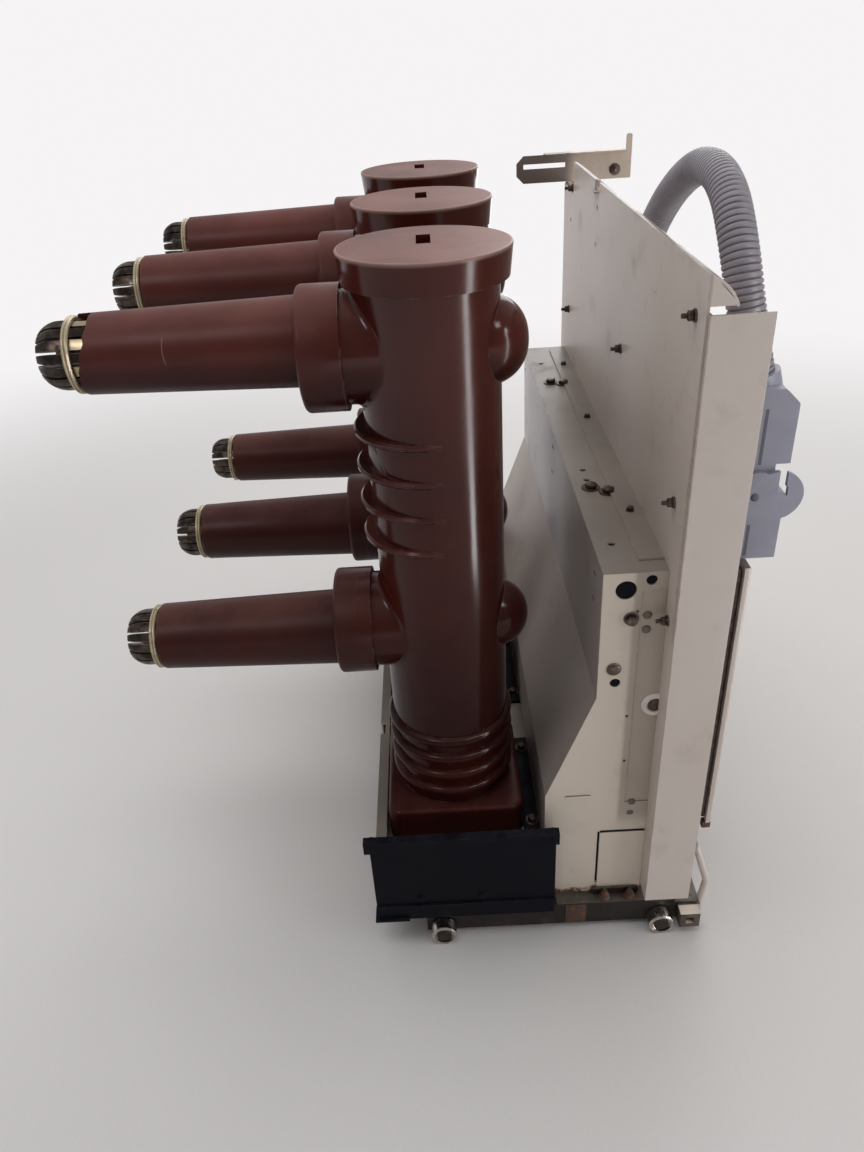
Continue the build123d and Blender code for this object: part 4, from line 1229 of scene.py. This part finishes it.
class BREAKER_OT_housing_bolts(bpy.types.Operator):
    """Puts the bolts and screws on top of the mechanism housing, and black floors in its holes and slots that
    paint the shade inside them
    """
    bl_idname = "breaker.housing_bolts"
    bl_label = "Housing bolts"

    def execute(self, context):
        sizes = context.scene.breaker_fasteners
        bolt = hex_nut(sizes.bolt, sizes.bolt * 0.55, 0.0012)
        stamped("housing_top_bolts", bolt, on_top(TOP_BOLTS, HOUSING_TOP, 10))
        screw = hex_nut(sizes.screw, sizes.screw * 0.85, 0.0006, rim=1.15)
        stamped("shield_foot_screws", screw, on_top(FLANGE_SCREWS, HOUSING_TOP + 2.0, 15))
        # Painted shade: black discs and slabs at the floors of the holes and slots stand for the shade inside
        # them.
        floor = drawn_up(HOLE_SHADE_PROFILE, 20)
        stamped("screw_hole_floors", floor, on_top(TOP_HOLES, HOUSING_TOP - 2.4), "black_plastic")
        wide, high = REAR_SLOT_HALF
        floors = [
            slab("slot_floor", x - wide, x + wide, *SLOT_SHADE_DEPTHS, z - high, z + high, 0.0)
            for x, z in REAR_SLOTS
        ]
        grouped("slot_floors", floors, "black_plastic")
        return {"FINISHED"}


class BREAKER_OT_side_fittings(bpy.types.Operator):
    """Puts the bolts, plugs, the grommet and the pressed rib on the housing's side plates, with dark pieces
    that paint the shade in the grommet's hole, the bores and the hatch's gaps
    """
    bl_idname = "breaker.side_fittings"
    bl_label = "Side fittings"

    def execute(self, context):
        screw = context.scene.breaker_fasteners.screw
        stamped("side_bolts", hex_nut(*SIDE_BOLT_SIZE, rim=1.32), on_sides(SIDE_BOLTS))
        places = on_sides(SIDE_SCREWS, SUNK)
        stamped("side_screws", pan_screw(screw * 1.15, screw * 0.5), places, "dark_steel", "yellow_zinc")
        stamped("side_pins", pan_screw(*SIDE_PIN_SIZE), on_sides(SIDE_PINS))
        stamped("side_plugs", pan_screw(*SIDE_PLUG_SIZE), on_sides(SIDE_PLUGS))
        places = on_sides(SIDE_GROMMETS, SUNK)
        stamped("side_grommets", drawn_up(GROMMET_PROFILE, 28), places, "white_rod", "white_plastic")
        # Painted shade: a dark disc in the grommet's hole.
        stamped("grommet_eyes", drawn_up(EYE_SHADE_PROFILE, 28), places)
        # Painted shade: black linings sunk in the bores stand for the shade inside them.
        for depth, z, radius in SIDE_BORES:
            lining = drawn_up([(radius * MM * BORE_FIT, 0.0), (radius * MM * BORE_FIT, 0.003)], 32)
            places = on_sides([(depth, z)], BORE_SHADE_SUNK)
            stamped(f"bore_floor_{round(z)}", lining, places, "black_plastic")
        ribs = [
            box_at("side_rib", spot(side * SIDE_X, *SIDE_RIB), SIDE_RIB_SIZE, 0.0007, 3) for side in (-1, 1)
        ]
        grouped("side_ribs", ribs, "white_sheet")
        # Painted shade: black strips in the hatch's gaps.
        both_sides("hatch_gaps", "black_plastic", HATCH_GAP_SHADES, 0.0001)
        return {"FINISHED"}


class BREAKER_OT_pole_feet(bpy.types.Operator):
    """Lays a black foot plate with its two bolts in front of each pole's base"""
    bl_idname = "breaker.pole_feet"
    bl_label = "Pole feet"

    def execute(self, context):
        middles = [index * POLE_PITCH for index in (-1, 0, 1)]
        plates = [
            slab("pole_foot", x - FOOT_HALF, x + FOOT_HALF, *FOOT_DEPTHS, BED_FLOOR, FOOT_TOP)
            for x in middles
        ]
        grouped("pole_foot_plates", plates, "black_plastic")
        size = context.scene.breaker_fasteners.bolt
        across, depth = FOOT_BOLT
        points = [(x + side * across, depth) for x in middles for side in (-1, 1)]
        stamped("pole_foot_bolts", hex_nut(size * 0.8, size * 0.6, 0.0010), on_top(points, FOOT_TOP, 12))
        return {"FINISHED"}


class BREAKER_OT_truck_fittings(bpy.types.Operator):
    """Puts the rusted bolts and angle on the truck's tray, and the handle gussets"""
    bl_idname = "breaker.truck_fittings"
    bl_label = "Truck fittings"

    def execute(self, context):
        points = [(side * TRAY_BOLT_X, depth) for side in (-1, 1) for depth in TRAY_BOLT_DEPTHS]
        bolt = drawn_up(TRAY_BOLT_PROFILE, 12)
        stamped("tray_bolts", bolt, on_top(points, TRUCK_FLOOR, 25), "galvanised", "rust")
        both_sides("rail_patches", "galvanised", [RAIL_PATCH], look="rust")
        both_sides("cover_clips", "galvanised", [COVER_CLIP], 0.0008, "rust")
        both_sides("tray_angles", "galvanised", [TRAY_ANGLE])
        for side, way in (("left", -1), ("right", 1)):
            dressed(gusset(f"handle_gusset_{side}", way), f"latch_{side}", "white_rod")
        return {"FINISHED"}


def gusset(name, side):
    """Small upright plate between a handle's rod and its foot."""
    mesh = bpy.data.meshes.new(name)
    vertices = [spot(side * GUSSET_X - 1.0, depth, z) for depth, z in GUSSET_OUTLINE]
    mesh.from_pydata(vertices, [], [(0, 1, 2, 3)])
    piece = new_object(name, mesh)
    edit(piece)
    bpy.ops.mesh.extrude_region_move(TRANSFORM_OT_translate={"value": (0.002, 0, 0)})
    bpy.ops.object.mode_set(mode="OBJECT")
    close_up(piece)
    return piece


class BREAKER_OT_cover_fittings(bpy.types.Operator):
    """Puts the screws on the side covers, the corner bracket and the front cover"""
    bl_idname = "breaker.cover_fittings"
    bl_label = "Cover fittings"

    def execute(self, context):
        screw = context.scene.breaker_fasteners.screw
        places = on_sides(SIDE_COVER_SCREWS, plate=SIDE_COVER_X, turn=0.0)
        stamped("side_cover_screws", pan_screw(screw * 1.4, screw * 0.45), places, "black_plastic")
        places = [place_of(spot(x, depth, z), LEFT, turn) for x, depth, z, turn in BRACKET_NUTS]
        stamped("bracket_nuts", hex_nut(*BRACKET_NUT_SIZE, rim=1.3), places)
        places = [place_of(spot(*point), FORWARD) for point in FRONT_COVER_SCREWS]
        stamped("front_cover_screws", pan_screw(screw, screw * 0.55), places)
        return {"FINISHED"}


# The studio

HORIZON_START = 0.9
HORIZON_END = 2.3
HORIZON_COLOUR = paint(246, 244, 245)
KEY_PLACE = Vector((0.2, 0.4, 2.6))
BACK_PLACE = Vector((2.3, -0.9, 1.2))
FILL_WAY = Vector((-0.438, -0.899, 0.0))
FILL_DISTANCE = 1.9
STRIP_WAY = Vector((-0.485, -0.875, 0.0))
STRIP_DISTANCE = 0.62
STRIP_FOOT = Vector((-0.05, -0.031, 0.5))
GLINTS = (Vector((-1.5, 1.0, 2.2)), Vector((-1.5, -1.1, 2.2)))


def soft_box(name, place, target, width, height, power, glossy=True, diffuse=True):
    """Rectangular lamp that the camera doesn't see."""
    data = bpy.data.lights.new(name, "AREA")
    data.shape = "RECTANGLE"
    data.size = width
    data.size_y = height
    data.energy = power
    lamp = new_object(name, data)
    lamp.matrix_world = place_of(place, target - place, axis="-Z")
    lamp.visible_camera = False
    lamp.visible_glossy = glossy
    lamp.visible_diffuse = diffuse


def seen_by_rays(tree):
    """1 for camera, glossy and transmission rays."""
    rays = node(tree, "ShaderNodeLightPath").outputs
    return Field(tree, rays["Is Camera Ray"]).most(rays["Is Glossy Ray"]).most(rays["Is Transmission Ray"])


class BREAKER_OT_studio(bpy.types.Operator):
    """Makes the pale floor, the background and the soft light"""
    bl_idname = "breaker.studio"
    bl_label = "Studio"

    def execute(self, context):
        settings = context.scene.breaker_studio
        deselect()
        bpy.ops.mesh.primitive_plane_add(size=settings.floor_size, location=(0, 0, 0))
        floor = context.active_object
        floor.name = "studio_floor"
        coat = Coat("Studio floor", Roughness=0.7, Specular_IOR_Level=0.0)
        coat.base(coat.place.noise(240.0, 3.0), tuple(settings.floor_colour), (220, 218, 216))
        made = coat.finished()
        tree = coat.tree
        far = coat.place.length().fade(HORIZON_START, HORIZON_END)
        glow = node(tree, "ShaderNodeEmission", {"Color": HORIZON_COLOUR, "Strength": 1.0})
        blend = node(tree, "ShaderNodeMixShader", {
            0: far * seen_by_rays(tree), 1: coat.shader.outputs["BSDF"], 2: glow.outputs["Emission"],
        })
        tree.links.new(blend.outputs["Shader"], tree.nodes["Material Output"].inputs["Surface"])
        floor.data.materials.append(made)
        world = bpy.data.worlds.new("Studio")
        world.use_nodes = True
        tree = world.node_tree
        surround = tree.nodes["Background"]
        surround.inputs["Color"].default_value = HORIZON_COLOUR
        across = field(tree, "ShaderNodeTexCoord", "Generated").axes()[0]
        room = across.fade(-0.7, 0.8).between(0.24, 0.66)
        seen = field(tree, "ShaderNodeLightPath", "Is Camera Ray")
        strength = field(tree, "ShaderNodeMix", 0, {0: seen, 2: room, 3: 1.0})
        tree.links.new(strength.socket, surround.inputs["Strength"])
        context.scene.world = world
        target = Vector((0.0, 0.0, 0.35))
        soft_box("Overhead soft box", KEY_PLACE, target, 2.4, 2.4, settings.key_power, glossy=False)
        soft_box("Back soft box", BACK_PLACE, target, 1.2, 2.4, settings.back_power)
        near_pole = Vector((-POLE_PITCH * MM, POLE_Y, 0.9))
        fill = near_pole + FILL_WAY * FILL_DISTANCE
        soft_box("Side soft box", fill, near_pole, 1.2, 1.9, settings.side_power, glossy=False)
        foot = Vector((-POLE_PITCH * MM, POLE_Y, 0.0)) + STRIP_FOOT
        strip = foot + STRIP_WAY * STRIP_DISTANCE
        soft_box("Tall strip light", strip, foot, 0.1, 0.94, settings.strip_power, diffuse=False)
        for place in GLINTS:
            soft_box("Glint light", place, target, 0.5, 0.5, settings.glint_power, diffuse=False)
        context.scene.view_settings.view_transform = "Standard"
        return {"FINISHED"}


OPERATORS = (
    BREAKER_OT_camera, BREAKER_OT_conduit, BREAKER_OT_poles, BREAKER_OT_contacts,
    BREAKER_OT_chassis, BREAKER_OT_plug, BREAKER_OT_shield_studs, BREAKER_OT_housing_bolts,
    BREAKER_OT_side_fittings, BREAKER_OT_pole_feet, BREAKER_OT_truck_fittings, BREAKER_OT_cover_fittings,
    BREAKER_OT_studio,
)


class BREAKER_PT_panel(bpy.types.Panel):
    """Lists the breaker's operators and settings"""
    bl_label = "Circuit breaker"
    bl_space_type = "VIEW_3D"
    bl_region_type = "UI"
    bl_category = "Breaker"

    def draw(self, context):
        layout = self.layout
        for operator in OPERATORS:
            layout.operator(operator.bl_idname)
        for name in SETTINGS:
            box = layout.box()
            group_of = getattr(context.scene, name)
            for key in group_of.__annotations__:
                box.prop(group_of, key)


SETTINGS = {
    "breaker_colours": BreakerColours,
    "breaker_conduit": BreakerConduit,
    "breaker_fasteners": BreakerFasteners,
    "breaker_studio": BreakerStudio,
}


CLASSES = (*SETTINGS.values(), *OPERATORS, BREAKER_PT_panel)


def register():
    for made in CLASSES:
        bpy.utils.register_class(made)
    for name, kind in SETTINGS.items():
        setattr(bpy.types.Scene, name, bpy.props.PointerProperty(type=kind))


def unregister():
    for name in SETTINGS:
        delattr(bpy.types.Scene, name)
    for made in reversed(CLASSES):
        bpy.utils.unregister_class(made)


def main():
    register()
    for operator in OPERATORS:
        group_name, name = operator.bl_idname.split(".")
        getattr(getattr(bpy.ops, group_name), name)()


if __name__ == "__main__":
    main()
